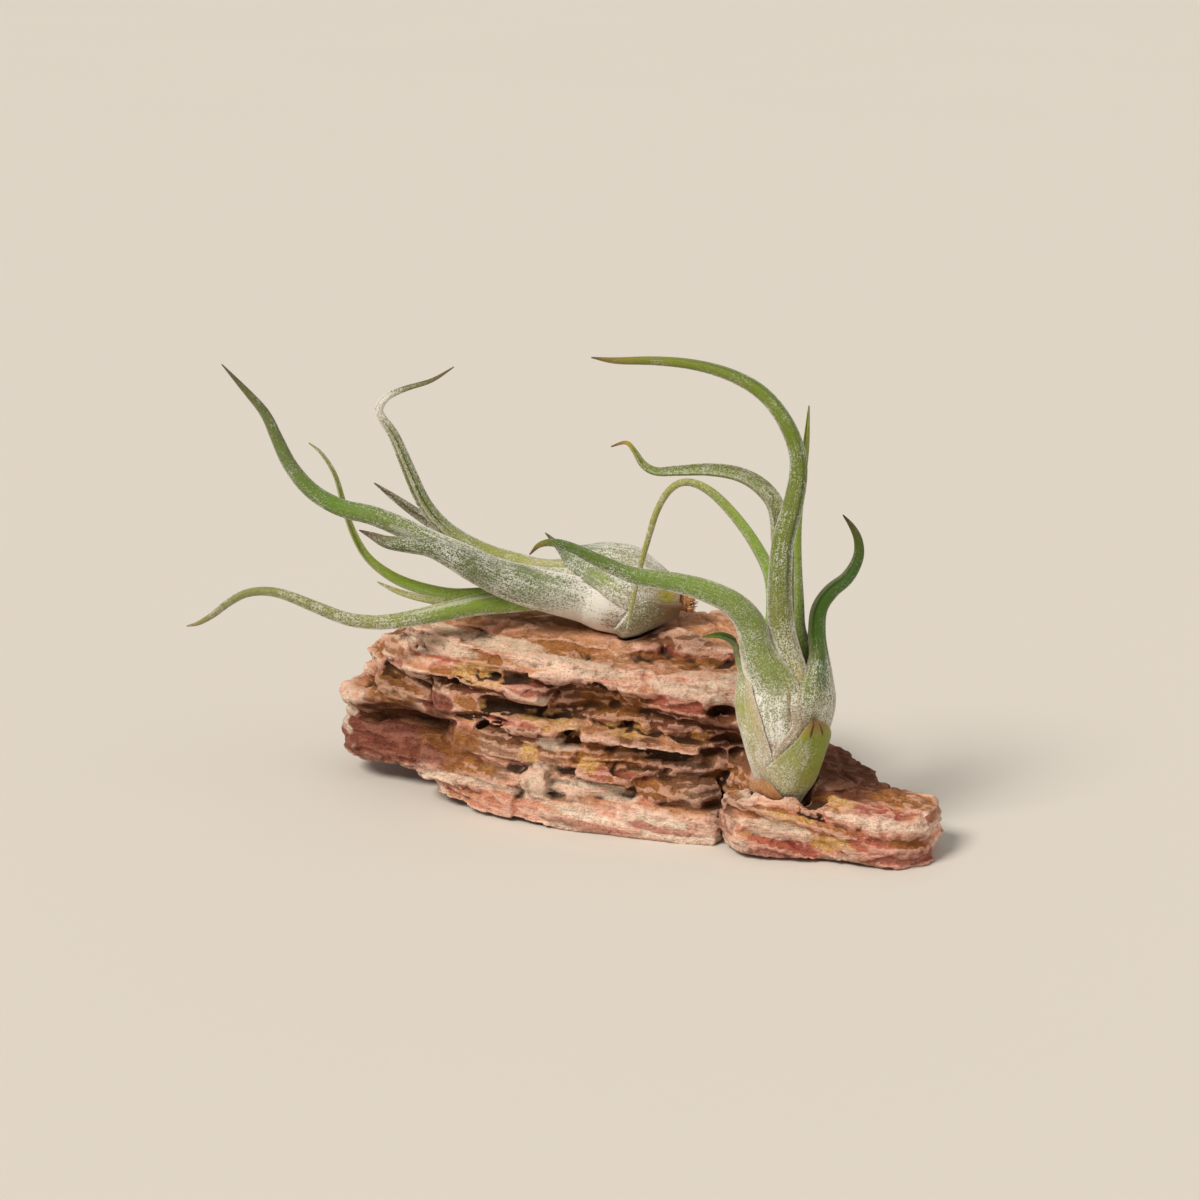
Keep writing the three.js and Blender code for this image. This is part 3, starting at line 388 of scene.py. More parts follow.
# On the flats: length and depth of a flake, its relief, and a seed.
FLAKES = [((26, 13), 0.9, 14), ((10, 5), 0.3, 15), ((4.5, 3), 0.08, 16)]
FLAKE_LAYER = 9  # the flakes change from one layer to the next, this thick
GRIT = ((4, 4, 2), 0.35)  # size and relief of the roughness all over
CALM_RANGE = (1.5, 7)  # the relief fades in between these distances from a bulb
REST_HEIGHT = 0.25  # what lies below this stays flat on the ground
SMOOTHINGS = (4, 30, 110)  # rounds of smoothing that tell proud edges and hollows from their surroundings
# Where the stone is smoother: middle and half sizes in mm, and the share of its relief that is left.
SMOOTH_PLACES = [((-70, -2, 24), (22, 34, 13), 0.3), ((-10, -40, 3), (70, 40, 9), 0.5)]
# Deep hollows: middle, half sizes and how far the skin moves in, in mm.
HOLLOWS = [
    ((28, -36, 25), (12, 13, 5), (0, 8, 0)), ((26, -36, 40.5), (6, 12, 4), (0, 6, 0)),
    ((55, -53, 17.5), (8, 8, 6), (0, 0, -4.5)), ((-22, -26, 43), (13, 10, 4.5), (0, 6, 0)),
    ((-4, -30, 31.8), (5, 10, 2.4), (0, 6, 0)), ((-23.4, -29, 28), (5, 10, 2), (0, 6, 0)),
    ((-82, 8, 27), (22, 12, 3), (1, 3, 0)), ((9, -40, 19), (15, 9, 2.6), (0, 3, 0)),
    ((-52, -16, 34), (14, 12, 2.6), (0, 3, 0)), ((2, -30, 38), (14, 9, 2.6), (0, 3, 0)),
    ((34, -34, 32), (14, 8, 2), (0, 3, 0)), ((-60, -16, 44), (14, 9, 2), (0, 2.5, 0)),
]

# The eye that the mineral patches are placed for: how far down and from how far it looks, and at what.
EYE_PITCH = math.radians(17)
EYE_RANGE = 950
EYE_TARGET = (-14, 0, 70)
EYE_BACK = np.array((0, -math.cos(EYE_PITCH), math.sin(EYE_PITCH)))
EYE = EYE_TARGET + EYE_RANGE * EYE_BACK

# Mineral patches on the front elevation: middle across and up, half width and half height, in mm.
PATCH_SLOPE = 0.16  # how fast the patches fall towards +X
PATCHES = {
    "ochre": [
        (-70, -16, 4.5, 2.5), (-69, -29.5, 8, 4.5), (-41, -19, 10, 2), (-53, -24.5, 6, 2),
        (-49, -47.5, 8, 4.5), (-43, -56.5, 8.5, 2.5), (4, -34.5, 10.5, 3.5), (8, -42.5, 7.5, 2.5),
        (-13, -16, 14, 2.5), (-22, -7, 4.5, 1.5), (-9, -7.5, 8.5, 1.5), (-3, -22, 5.5, 2.5),
        (30, -21, 17.5, 1.5), (1, -52.5, 11.5, 3), (57, -71.5, 10, 2), (69, -76.5, 12, 2.5),
        (78, -69, 6, 2), (102, -67.5, 11.5, 2), (14, -62.5, 11.5, 2.5), (34, -46, 3.5, 1.5),
        (45, -60.5, 6.5, 4), (102, -82, 6.5, 1.5), (-43, -35, 4.5, 3),
    ],
    "yellow": [
        (-40, -25, 8, 3.5), (-36, -35.5, 3, 2), (-15, -41, 8.5, 3.5), (8, -43, 6.5, 2),
        (-24, -51.5, 3.5, 2.5), (-3, -55.5, 3.5, 2.5), (78, -82, 5.5, 2), (33, -45.5, 2.5, 1.5),
        (81, -68, 4.5, 1.5), (64, -73, 8.5, 1),
    ],
    "cream": [
        (-21, -61, 4.5, 5), (-40, -61.5, 15, 1.5), (-11, -62.5, 8.5, 2.5), (30, -31, 11.5, 2.5),
        (-12, -22, 15.5, 2.5), (-55, -15.5, 11.5, 2.5), (-33, -14.5, 13.5, 2), (-51, -9.5, 6.5, 1.5),
        (59, -77, 11.5, 2.5), (92, -74, 9, 1.5), (4, -64.5, 8.5, 2), (49, -65.5, 3.5, 1.5),
        (-85, -38.5, 2.5, 4.5), (-13, -48.5, 6, 1.5),
    ],
    "grey": [
        (-31, -51.5, 12, 2.5), (-17, -56, 8, 2.5), (-45, -57.5, 4.5, 1.5), (-13, -66, 8, 1.5),
        (41, -73, 3.5, 6), (43, -64.5, 8.5, 3), (0, -23, 6.5, 2.5), (-35, -57.5, 5.5, 2.5),
        (34, -57.5, 8, 3),
    ],
    # umber: brown stains; the one at (24, -12.5) is a painted shadow under the lying bulb.
    "umber": [
        (-66, -37.5, 13.5, 2.5), (-9, -30.5, 12, 3), (-1, -35.5, 8, 4), (-23, -47, 16, 2.5),
        (30, -42.5, 17, 3), (44, -51, 10, 6.5), (84, -58.5, 12, 6.5), (27, -60, 11, 4),
        (24, -12.5, 14, 2), (-59, -26, 11.5, 1.5), (-40, -31, 15, 1.5), (30, -67, 15, 2),
        (14, -47, 5.5, 1.5), (-9, -49, 4.5, 1.5), (41, -37.5, 5.5, 3), (0, -62, 10, 1.5),
        (-65, -10.5, 7.5, 1.5), (71, -65.5, 6.5, 2.5),
    ],
    "purple": [(-67, -45, 21, 7.5), (-53, -35.5, 4, 3.5), (87, -56, 14, 9), (40, -42, 6.5, 1.5)],
    "rose": [
        (-27, -41.5, 12, 1.5), (6, -59, 11.5, 2.5), (30, -35.5, 14, 3), (34, -44, 15, 1.5),
        (-23, -29.5, 7.5, 2.5), (62, -84, 11.5, 5), (-26, -77, 22, 2), (-2, -76, 14, 1),
        (22, -77, 12, 1), (21, -17, 6.5, 2.5), (-53, -18.5, 10, 1.5), (-38, -31, 8.5, 1.5),
        (99, -85, 13.5, 6), (91, -71, 13.5, 1.5),
    ],
}


def linear(code):
    """A colour written as six hex digits, as linear red, green, blue and 1."""
    parts = [int(code[i:i + 2], 16) / 255 for i in (0, 2, 4)]
    return [p / 12.92 if p <= 0.04045 else ((p + 0.055) / 1.055) ** 2.4 for p in parts] + [1]


# ---------------------------------------------------------------- settings
def colour_setting(name, description, code):
    return bpy.props.FloatVectorProperty(
        name=name, description=description, subtype="COLOR", size=4, min=0, max=1, default=linear(code)
    )


def number_setting(name, description, default, **kind):
    return bpy.props.FloatProperty(name=name, description=description, default=default, **kind)


class PlantSettings(bpy.types.PropertyGroup):
    scale_colour: colour_setting("Silver scales", "Colour of the scales that frost the leaves", "ECE8DE")
    margin_colour: colour_setting("Leaf margins", "Colour of the thin leaf margins", "D2BCA4")
    # shade_colour: partly the skin's own dark green, partly painted shade between the scales.
    shade_colour: colour_setting("Between the scales", "Darker green seen between the scales", "38441E")
    fibre_colour: colour_setting("Dry fibre", "Colour of the dry foot and its fibres", "A2693C")
    scale_size: number_setting("Scale size", "Size of the silver scales", 0.00034, unit="LENGTH")
    fuzz: number_setting("Fuzz", "Soft sheen of the scales at grazing angles", 0.2, min=0, max=1)


class StoneSettings(bpy.types.PropertyGroup):
    pink: colour_setting("Pink beds", "Main colour of the beds", "D98F76")
    # pale: also the painted highlight on the proud edges.
    pale: colour_setting("Pale beds", "Colour of the palest beds and worn edges", "E9B49C")
    tan: colour_setting("Tan", "Colour of the weathered flats", "CC9468")
    rose: colour_setting("Rose beds", "Deep pink beds", "A64E40")
    ochre: colour_setting("Ochre", "Rusty yellow-brown stains", "AC6E2E")
    yellow: colour_setting("Yellow", "Pale yellow crust", "E6BC78")
    cream: colour_setting("Cream", "Cream crust", "F0DAC2")
    grey: colour_setting("Grey", "Grey beds", "7C6656")
    # umber: brown stains, and also the painted shade in recesses and under overhangs.
    umber: colour_setting("Umber", "Brown in the recesses", "5E381E")
    # dark: the painted shade of the deepest hollows.
    dark: colour_setting("Hollows", "Nearly black brown in the hollows", "160B06")
    purple: colour_setting("Purple brown", "Smooth purple-brown beds", "824836")
    coarse: number_setting("Rough grain", "Cell size before weathering", 0.0007, unit="LENGTH")
    grain: number_setting("Fine grain", "Cell size after weathering", 0.00055, unit="LENGTH")


class StageSettings(bpy.types.PropertyGroup):
    floor_colour: colour_setting("Floor", "Colour of the floor", "DAD3C9")
    sky_colour: colour_setting("Surroundings", "Colour of the light all round", "E9E6E1")
    sky_strength: number_setting("Fill", "Strength of that light", 0.44)
    key_power: number_setting("Key light", "Strength of the soft light from the upper left", 2.9)
    distance: number_setting(
        "Camera distance", "From the camera to its target", EYE_RANGE * MM, unit="LENGTH"
    )
    elevation: number_setting("Camera elevation", "How far the camera looks down", EYE_PITCH, subtype="ANGLE")
    lens: number_setting("Lens", "Focal length on a 36 mm sensor", 85, unit="CAMERA")


# ---------------------------------------------------------------- small tools
def unit(vector):
    return vector / np.linalg.norm(vector)


def look_up(table, position):
    return float(np.interp(position, [row[0] for row in table], [row[1] for row in table]))


def spread(values):
    """A number, or a list spread evenly over a sheath, as a table of shares and values."""
    values = np.atleast_1d(values)
    return [(i / max(len(values) - 1, 1), value) for i, value in enumerate(values)]


def along_curve(points, s):
    """A smooth curve through rows of numbers, at s from 0 to 1."""
    last = len(points) - 1
    place = min(max(s, 0), 1) * last
    i = min(int(place), last - 1)
    t = place - i
    before = points[i - 1] if i else 2 * points[0] - points[1]
    after = points[i + 2] if i + 2 <= last else 2 * points[last] - points[last - 1]
    start, end = points[i], points[i + 1]
    leave, arrive = (end - before) / 2, (after - start) / 2
    return (
        (2 * t**3 - 3 * t**2 + 1) * start + (t**3 - 2 * t**2 + t) * leave
        + (3 * t**2 - 2 * t**3) * end + (t**3 - t**2) * arrive
    )


def ease(value, low, high):
    t = np.clip((value - low) / (high - low), 0, 1)
    return t * t * (3 - 2 * t)


def lattice(cells, seed):
    """Repeatable draws from -1 to 1, one for each whole-numbered cell."""
    mix = cells[:, 0] * 374761393 + cells[:, 1] * 668265263 + cells[:, 2] * 1440662683 + seed * 974711
    mix = (mix ^ (mix >> 13)) * 1274126177
    mix = mix ^ (mix >> 16)
    return (mix & 0xFFFFFF) / 0x7FFFFF - 1


def drift(points, size, seed=0):
    """Smooth noise from -1 to 1 over points; size is one wave, the same or one for each axis."""
    place = points / size
    cell = np.floor(place).astype(np.int64)
    t = place - cell
    t = t * t * (3 - 2 * t)
    total = np.zeros(len(points))
    for corner in product((0, 1), repeat=3):
        share = np.prod(np.where(corner, t, 1 - t), axis=1)
        total += share * lattice(cell + np.array(corner), seed)
    return total


def rough(points, size, seed=0, octaves=3):
    size = np.array(size, float)
    return sum(drift(points, size / 2**k, seed + 31 * k) / 2**k for k in range(octaves)) / 1.6


def rows_of(items, field):
    """Three numbers of each item, as one row each."""
    values = np.empty(len(items) * 3, np.float32)
    items.foreach_get(field, values)
    return values.reshape(-1, 3).astype(float)


def coordinates(mesh):
    return rows_of(mesh.vertices, "co")


def normals(mesh):
    return rows_of(mesh.vertex_normals, "vector")


def move_to(mesh, points):
    mesh.vertices.foreach_set("co", points.astype(np.float32).ravel())
    mesh.update()


def paint(mesh, name, values):
    """Stores one number, or red, green and blue, for each vertex."""
    wide = values.ndim == 2
    layer = mesh.attributes.new(name, "FLOAT_COLOR" if wide else "FLOAT", "POINT")
    if wide:
        values = np.hstack([values, np.ones((len(values), 1))])
    layer.data.foreach_set("color" if wide else "value", values.astype(np.float32).ravel())


def pick(*pieces):
    """Selects these objects alone; the first is the active one."""
    bpy.ops.object.select_all(action="DESELECT")
    for piece in pieces:
        piece.select_set(True)
    bpy.context.view_layer.objects.active = pieces[0]


def finish_with(kind, **settings):
    """Adds a modifier to the active object and applies it."""
    bpy.ops.object.modifier_add(type=kind)
    modifier = bpy.context.object.modifiers[-1]
    for key, value in settings.items():
        setattr(modifier, key, value)
    bpy.ops.object.modifier_apply(modifier=modifier.name)


def hand_over(piece, name, node, finish):
    """Names a finished piece, gives it its material and lets it stand for its CAD node."""
    piece.name = name
    piece.data.name = name
    piece.data.materials.clear()
    piece.data.materials.append(finish)
    bpy.ops.object.shade_smooth()
    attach(piece, "root")
    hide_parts(node)


# ---------------------------------------------------------------- materials
class Signal:
    """A shader value or colour. Arithmetic on a value adds its Math nodes."""

    def __init__(self, finish, socket):
        self.finish = finish
        self.socket = socket

    def math(self, operation, *terms):
        return self.finish.node("ShaderNodeMath", {"operation": operation}, dict(enumerate(terms)))

    def __add__(self, other):
        return self.math("ADD", self, other)

    def __sub__(self, other):
        return self.math("SUBTRACT", self, other)

    def __rsub__(self, other):
        return self.math("SUBTRACT", other, self)

    def __mul__(self, other):
        return self.math("MULTIPLY", self, other)

    __radd__ = __add__
    __rmul__ = __mul__

    def __abs__(self):
        return self.math("ABSOLUTE", self)

    def clamp(self):
        return self.finish.node("ShaderNodeClamp", {}, {0: self})

    def step(self, low, high):
        """0 below low, 1 above high, smooth between."""
        settings = {"interpolation_type": "SMOOTHSTEP"}
        return self.finish.node("ShaderNodeMapRange", settings, {0: self, 1: low, 2: high, 3: 0.0, 4: 1.0})


class Finish:
    """A procedural material under construction."""

    def __init__(self, name):
        self.material = bpy.data.materials.new(name)
        self.material.use_nodes = True
        self.tree = self.material.node_tree
        self.tree.nodes.clear()

    def node(self, kind, settings=None, inputs=None, output=0):
        node = self.tree.nodes.new(kind)
        for key, value in (settings or {}).items():
            setattr(node, key, value)
        for key, value in (inputs or {}).items():
            if isinstance(value, Signal):
                self.tree.links.new(value.socket, node.inputs[key])
            else:
                node.inputs[key].default_value = value
        return Signal(self, node.outputs[output])

    def ramp(self, value, stops):
        """stops: number or colour by position."""
        ramp = self.node("ShaderNodeValToRGB", {}, {0: value})
        elements = ramp.socket.node.color_ramp.elements
        while len(elements) < len(stops):
            elements.new(0.5)
        for element, (position, colour) in zip(elements, stops.items()):
            element.position = position
            element.color = (colour, colour, colour, 1) if isinstance(colour, (int, float)) else colour
        return ramp

    def blend(self, share, first, second, mode="MIX"):
        settings = {"data_type": "RGBA", "blend_type": mode}
        return self.node("ShaderNodeMix", settings, {0: share, 6: first, 7: second}, output=2)

    def spot(self):
        return self.node("ShaderNodeTexCoord", output="Object")

    def stored(self, name, output="Fac"):
        """One number that the mesh stores for each vertex, or three as a colour."""
        return self.node("ShaderNodeAttribute", {"attribute_name": name}, output=output)

    def split(self, signal, kind="Color"):
        """The three parts of a colour or a vector."""
        first = self.node("ShaderNodeSeparate" + kind, {}, {0: signal})
        return [Signal(self, socket) for socket in first.socket.node.outputs]

    def placed(self, vector, scale, turn=(0, 0, 0)):
        return self.node("ShaderNodeMapping", {}, {"Vector": vector, "Scale": scale, "Rotation": turn})

    def noise(self, vector, *amounts):
        """amounts: scale, detail, roughness and distortion, or fewer."""
        names = ("Vector", "Scale", "Detail", "Roughness", "Distortion")
        return self.node("ShaderNodeTexNoise", {}, dict(zip(names, (vector, *amounts))))

    def bump(self, height, distance, strength, under=None):
        inputs = {"Height": height, "Distance": distance, "Strength": strength}
        if under:
            inputs["Normal"] = under
        return self.node("ShaderNodeBump", {}, inputs)

    def surface(self, colour, roughness, normal, **constants):
        inputs = {"Base Color": colour, "Roughness": roughness, "Normal": normal}
        inputs.update({key.replace("_", " "): value for key, value in constants.items()})
        shader = self.node("ShaderNodeBsdfPrincipled", {}, inputs)
        end = self.tree.nodes.new("ShaderNodeOutputMaterial")
        self.tree.links.new(shader.socket, end.inputs["Surface"])
        return self.material


def leaf_finish(leaf, look):
    """Green skin under silver scales, which thin out along the blade; the tip dries brown."""
    finish = Finish(leaf["name"] + "_skin")
    spot = finish.spot()
    uv = finish.node("ShaderNodeUVMap", {"uv_map": "UVMap"})
    across, along, _ = finish.split(uv, "XYZ")
    margin = abs(across * 2 - 1)

    clouds = finish.noise(spot, 130, 3) - 0.5
    streaks = finish.noise(finish.placed(uv, (9, 1.2, 1)), 4, 3) - 0.5
    flecks = finish.noise(finish.placed(uv, (12, 7, 1)), 4, 2, 0.6)
    body = finish.ramp(along + clouds * 0.06, {place: linear(code) for place, code in leaf["hues"].items()})
    cover = finish.ramp(along + clouds * 0.06, leaf["frost"])
    for u, v, wide, long, code, strength in leaf["patches"]:
        off_u, off_v = (across - u) * (1 / wide), (along - v) * (1 / long)
        near = 1 - off_u * off_u - off_v * off_v
        share = (near + clouds * 1.6).step(-0.1, 0.8) * strength
        body = finish.blend(share, body, linear(code))
        cover = cover * (1 - share * 0.4)
    edge = (margin + clouds * 0.3).step(leaf["rim_from"], 1.0) * (1 - along.step(0.6, 0.95))
    body = finish.blend(edge * leaf["rim"], body, look.margin_colour)

    # edge_sheen and bloom: more scales painted where the leaf turns edge-on to the front, a painted sheen at
    # its silhouettes over its own frost.
    edge_sheen = finish.stored("edge_sheen")
    bloom = edge_sheen * edge_sheen * (1.5 * leaf["bloom"]) * (1 - along.step(0.75, 0.97) * 0.7)
    veil = leaf["veiled"] * (1 - across.step(0.3, 0.6)) * (1 - along.step(0.7, 0.85))
    # inside adds a little silver on the inner wall of a rolled channel: painted light where the channel lies
    # in shade.
    cover = cover + clouds + streaks + bloom + finish.stored("inside") * 0.1 + veil
    cell = finish.node("ShaderNodeTexVoronoi", {}, {"Vector": spot, "Scale": 1 / look.scale_size}, "Color")
    chance, tint, _ = finish.split(cell)
    scales = (cover - chance).step(-0.1, 0.1) * (1 - leaf["fibrous"])
    bare = (flecks - cover * 0.25 + (tint - 0.5) * 0.1).step(0.44, 0.56)
    # dark: painted shade between the scales, deeper the more of them there are, with the skin's own dark
    # flecks.
    dark = (cover * 0.8 + bare * 0.35 + (tint - 0.5) * 0.5 - 0.12).clamp()
    skin = finish.blend(dark * 0.75, body, look.shade_colour)
    silver = finish.blend(tint * 0.3, look.scale_colour, body)
    colour = finish.blend(scales * (cover * 1.3 - 0.06), skin, silver)
    threads = finish.noise(finish.placed(uv, (26, 1.4, 1)), 4, 4)
    if leaf["fibrous"]:
        colour = finish.blend(threads.step(0.44, 0.58) * leaf["fibrous"], look.fibre_colour, body)

    normal = finish.bump(threads, 0.0004, 0.6)
    normal = finish.bump(scales, 0.00012, 0.7, under=normal)
    sheen = {"Sheen_Weight": look.fuzz, "Sheen_Roughness": 0.4}
    return finish.surface(colour, 0.5 + scales * 0.3, normal, Specular_IOR_Level=0.3, **sheen)


def fibre_finish(name, look):
    """Dry brown fibre: coarse streaks, pale where they fray."""
    finish = Finish(name)
    spot = finish.spot()
    streaks = finish.noise(finish.placed(spot, (1, 1, 0.25)), 1400, 3)
    clouds = finish.noise(spot, 260, 3)
    dark = [channel * 0.35 for channel in look.fibre_colour[:3]] + [1]
    strands = streaks * 0.7 + clouds * 0.3 + finish.stored("core") * 0.14
    colour = finish.ramp(strands, {0.32: dark, 0.46: look.fibre_colour, 0.58: linear("C79A6C")})
    return finish.surface(colour, 0.85, finish.bump(streaks, 0.0003, 0.8))


def stone_finish(look):
    """Pink laminated stone: tan flats, listed mineral stains, edges pale from wear and painted highlight,
    and painted shade in the recesses and under the overhangs.
    """
    finish = Finish("stone_beds")
    spot = finish.spot()
    beds = finish.placed(spot, (1, 1, 5), (math.radians(4), math.radians(5), 0))
    laminae = finish.noise(beds, 60, 5, 0.65, 0.6)
    fine = finish.noise(beds, 260, 4, 0.65, 0.4)
    clouds = finish.noise(spot, 45, 4, 0.6)
    mottle = finish.noise(spot, 320, 4, 0.7)
    grain = finish.noise(spot, 1300, 2, 0.7)
    ragged = (mottle - 0.5) * 0.5 + (fine - 0.5) * 0.3 + (grain - 0.5) * 0.3
    ochre, cream, grey = finish.split(finish.stored("minerals", "Color"))
    purple, rose, umber = finish.split(finish.stored("stains", "Color"))
    # proud and deep: how far a place stands out or lies in, which the coats below turn into painted highlight
    # and painted shade.
    proud, deep, yellow = finish.split(finish.stored("relief_and_crust", "Color"))
    tone, rust, facing_up = finish.split(finish.stored("tone", "Color"))

    def place(field, strength, low=0.34, high=0.66):
        return (field + ragged * 0.55).step(low, high) * strength

    crust = (mottle * 0.7 + grain * 0.3).step(0.42, 0.58)
    layered = (tone - 0.5) * 0.3 + (laminae - 0.5) * 0.3 + ragged * 0.2
    beds_by_tone = {0.26: look.cream, 0.4: look.pale, 0.5: look.pink, 0.6: look.pink, 0.7: look.rose}
    # face: the beds' tones, drawn towards the rose beds where the surface lies deep, a painted shade in the
    # recesses.
    face = finish.ramp(0.5 - layered + (deep - 0.42) * 0.5, beds_by_tone)
    flats = facing_up * 0.6 + rust * 0.6 + deep * 0.5 + (clouds - 0.5) * 0.6 + ragged * 0.3
    stained = finish.blend(clouds.step(0.42, 0.6), look.umber, look.ochre)
    weathered = finish.blend(crust * 0.5, look.tan, stained)
    colour = finish.blend(flats.step(0.72, 1.06) * 0.85, face, weathered)
    # Ochre and umber dirt in the recesses, deepening into painted shade that is nearly black in the deepest
    # hollows; level tops get less of it.
    dirt_and_shade_ramp = {0.48: look.ochre, 0.54: look.umber, 0.63: look.dark, 0.85: look.dark}
    dirt_and_shade_colour = finish.ramp(deep + ragged * 0.2, dirt_and_shade_ramp)
    smooth = place(purple, 1, 0.2, 0.6)
    level = (facing_up - 0.6).step(0, 0.3) * 0.12
    hollow_dirt_and_shade = (deep + layered * 0.3 - level).step(0.46, 0.66) * (0.9 - smooth * 0.6)
    # under: painted shade, umber on faces that turn down under the overhangs.
    under = 1 - (facing_up + ragged * 0.2).step(0.14, 0.4)
    # The stains below stay out of the deepest hollows, where the painted shade lies.
    clear_of_hollow_shade = 1 - deep.step(0.62, 0.84)
    rusty = finish.blend(crust * 0.7, look.ochre, look.umber)
    gilt = finish.blend(crust * 0.8, look.yellow, look.ochre)
    # wear_and_highlight: pale on the proud edges of the ledges, partly wear and partly painted highlight.
    wear_and_highlight = (proud + ragged * 0.15).step(0.56, 0.8) * (0.5 - smooth * 0.4)
    coats = [
        (hollow_dirt_and_shade, dirt_and_shade_colour),
        (under * 0.8, look.umber),
        (place(rose, 0.75) * clear_of_hollow_shade, look.rose),
        (smooth * clear_of_hollow_shade, look.purple),
        (place(grey, 0.55) * clear_of_hollow_shade, look.grey),
        (place(umber, 0.75, 0.2, 0.7), look.umber),
        (place(ochre, 0.8) * clear_of_hollow_shade, rusty),
        (place(cream, 0.65) * clear_of_hollow_shade, look.cream),
        (place(yellow, 0.95, 0.36, 0.62) * clear_of_hollow_shade, gilt),
        (wear_and_highlight, look.pale),
    ]
    for share, coat in coats:
        colour = finish.blend(share, colour, coat)
    cracks = 1 - (abs(laminae - 0.5) + abs(fine - 0.5) * 0.5).step(0.004, 0.03)
    specks = grain * 0.35 + mottle * 0.35 + fine * 0.3 - cracks * 0.12
    colour = finish.blend(0.85, colour, finish.ramp(specks, {0.36: 0.46, 0.5: 1, 0.62: 1.2}), "MULTIPLY")

    normal = finish.bump(laminae * 0.6 + mottle * 0.4 - cracks * 0.12, 0.0016, 0.7)
    normal = finish.bump(fine * 0.6 + mottle * 0.4, 0.0014, 0.8, under=normal)
    normal = finish.bump(grain, 0.0006, 0.8, under=normal)
    return finish.surface(colour, 0.78 + grain * 0.18, normal, Specular_IOR_Level=0.28)


# ---------------------------------------------------------------- leaves
def bulb_frame(bulb):
    """Foot, axis, and the two directions across it that azimuths are counted from."""
    foot = np.array(bulb["foot"], float)
    axis = unit(np.array(bulb["neck"]) - foot)
    zero = np.array(bulb["zero"], float)
    zero = unit(zero - axis * zero.dot(axis))
    return foot, axis, zero, np.cross(axis, zero)


def carry(direction, start, end):
    """Turns a direction with the path from one tangent to the next, then squares it to the path."""
    turn = Vector(start).rotation_difference(Vector(end))
    carried = np.array(turn @ Vector(direction))
    return unit(carried - end * carried.dot(end))


def leaf_controls(leaf, bulb):
    """Centre, radius and half angle, outward direction, one row for each control section."""
    foot, axis, zero, quarter = bulb_frame(bulb)
    start, end = leaf["sheath"]
    azimuths, wraps, layers = (spread(leaf[key]) for key in ("azimuth", "wraps", "layer"))
    centres, shapes, outs = [], [], []
    for i in range(SHEATH_STEPS + 1):
        along = i / SHEATH_STEPS
        height = start + (end - start) * along
        reach = look_up(bulb["profile"], height) - look_up(layers, along)
        azimuth = math.radians(look_up(azimuths, along))
        side = zero * math.cos(azimuth) + quarter * math.sin(azimuth)
        centres.append(foot + axis * height + side * reach * (1 - leaf["share"]))
        shapes.append((reach * leaf["share"], math.radians(look_up(wraps, along))))
        outs.append(side)
    top = look_up(wraps, 1)
    for i, (x, y, z, width) in enumerate(leaf["blade"]):
        half = top + (leaf["curl"] - top) * min((i + 1) / 2, 1)
        centre = np.array((x, y, z), float)
        before = unit(centres[-1] - centres[-2])
        outs.append(carry(outs[-1], before, unit(centre - centres[-1])))
        centres.append(centre)
        shapes.append((max(width / 2, TIP_RADIUS), math.radians(half)))
    return np.array(centres), np.array(shapes), np.array(outs)


def leaf_sections(leaf, bulb):
    """Centre, outward and crosswise directions, radius, half angle and sheath share along the leaf."""
    centres, shapes, outs = leaf_controls(leaf, bulb)
    axis = bulb_frame(bulb)[1]
    ribs = centres + outs * shapes[:, :1]
    last = len(centres) - 1
    count = last * SECTIONS_PER_STEP
    blade_start = SHEATH_STEPS / last
    tangent, out = axis, outs[0]
    rows = []
    for i in range(count + 1):
        s = i / count
        freed = ease(s * last, SHEATH_STEPS, SHEATH_STEPS + 2)
        path = unit(along_curve(ribs, min(s + 1e-4, 1)) - along_curve(ribs, max(s - 1e-4, 0)))
        following = unit(axis * (1 - freed) + path * freed)
        out = carry(unit(along_curve(outs, s)) if s <= blade_start else out, tangent, following)
        tangent = following
        if s > blade_start:
            turn = math.radians(leaf["twist"]) / (count * (1 - blade_start))
            out = out * math.cos(turn) + np.cross(tangent, out) * math.sin(turn)
        radius, half = along_curve(shapes, s)
        shape = (max(radius, TIP_RADIUS), min(half, FULLEST_CURL))
        rows.append((along_curve(centres, s), out, np.cross(tangent, out), *shape, 1 - freed))
    return [np.array(column) for column in zip(*rows)]


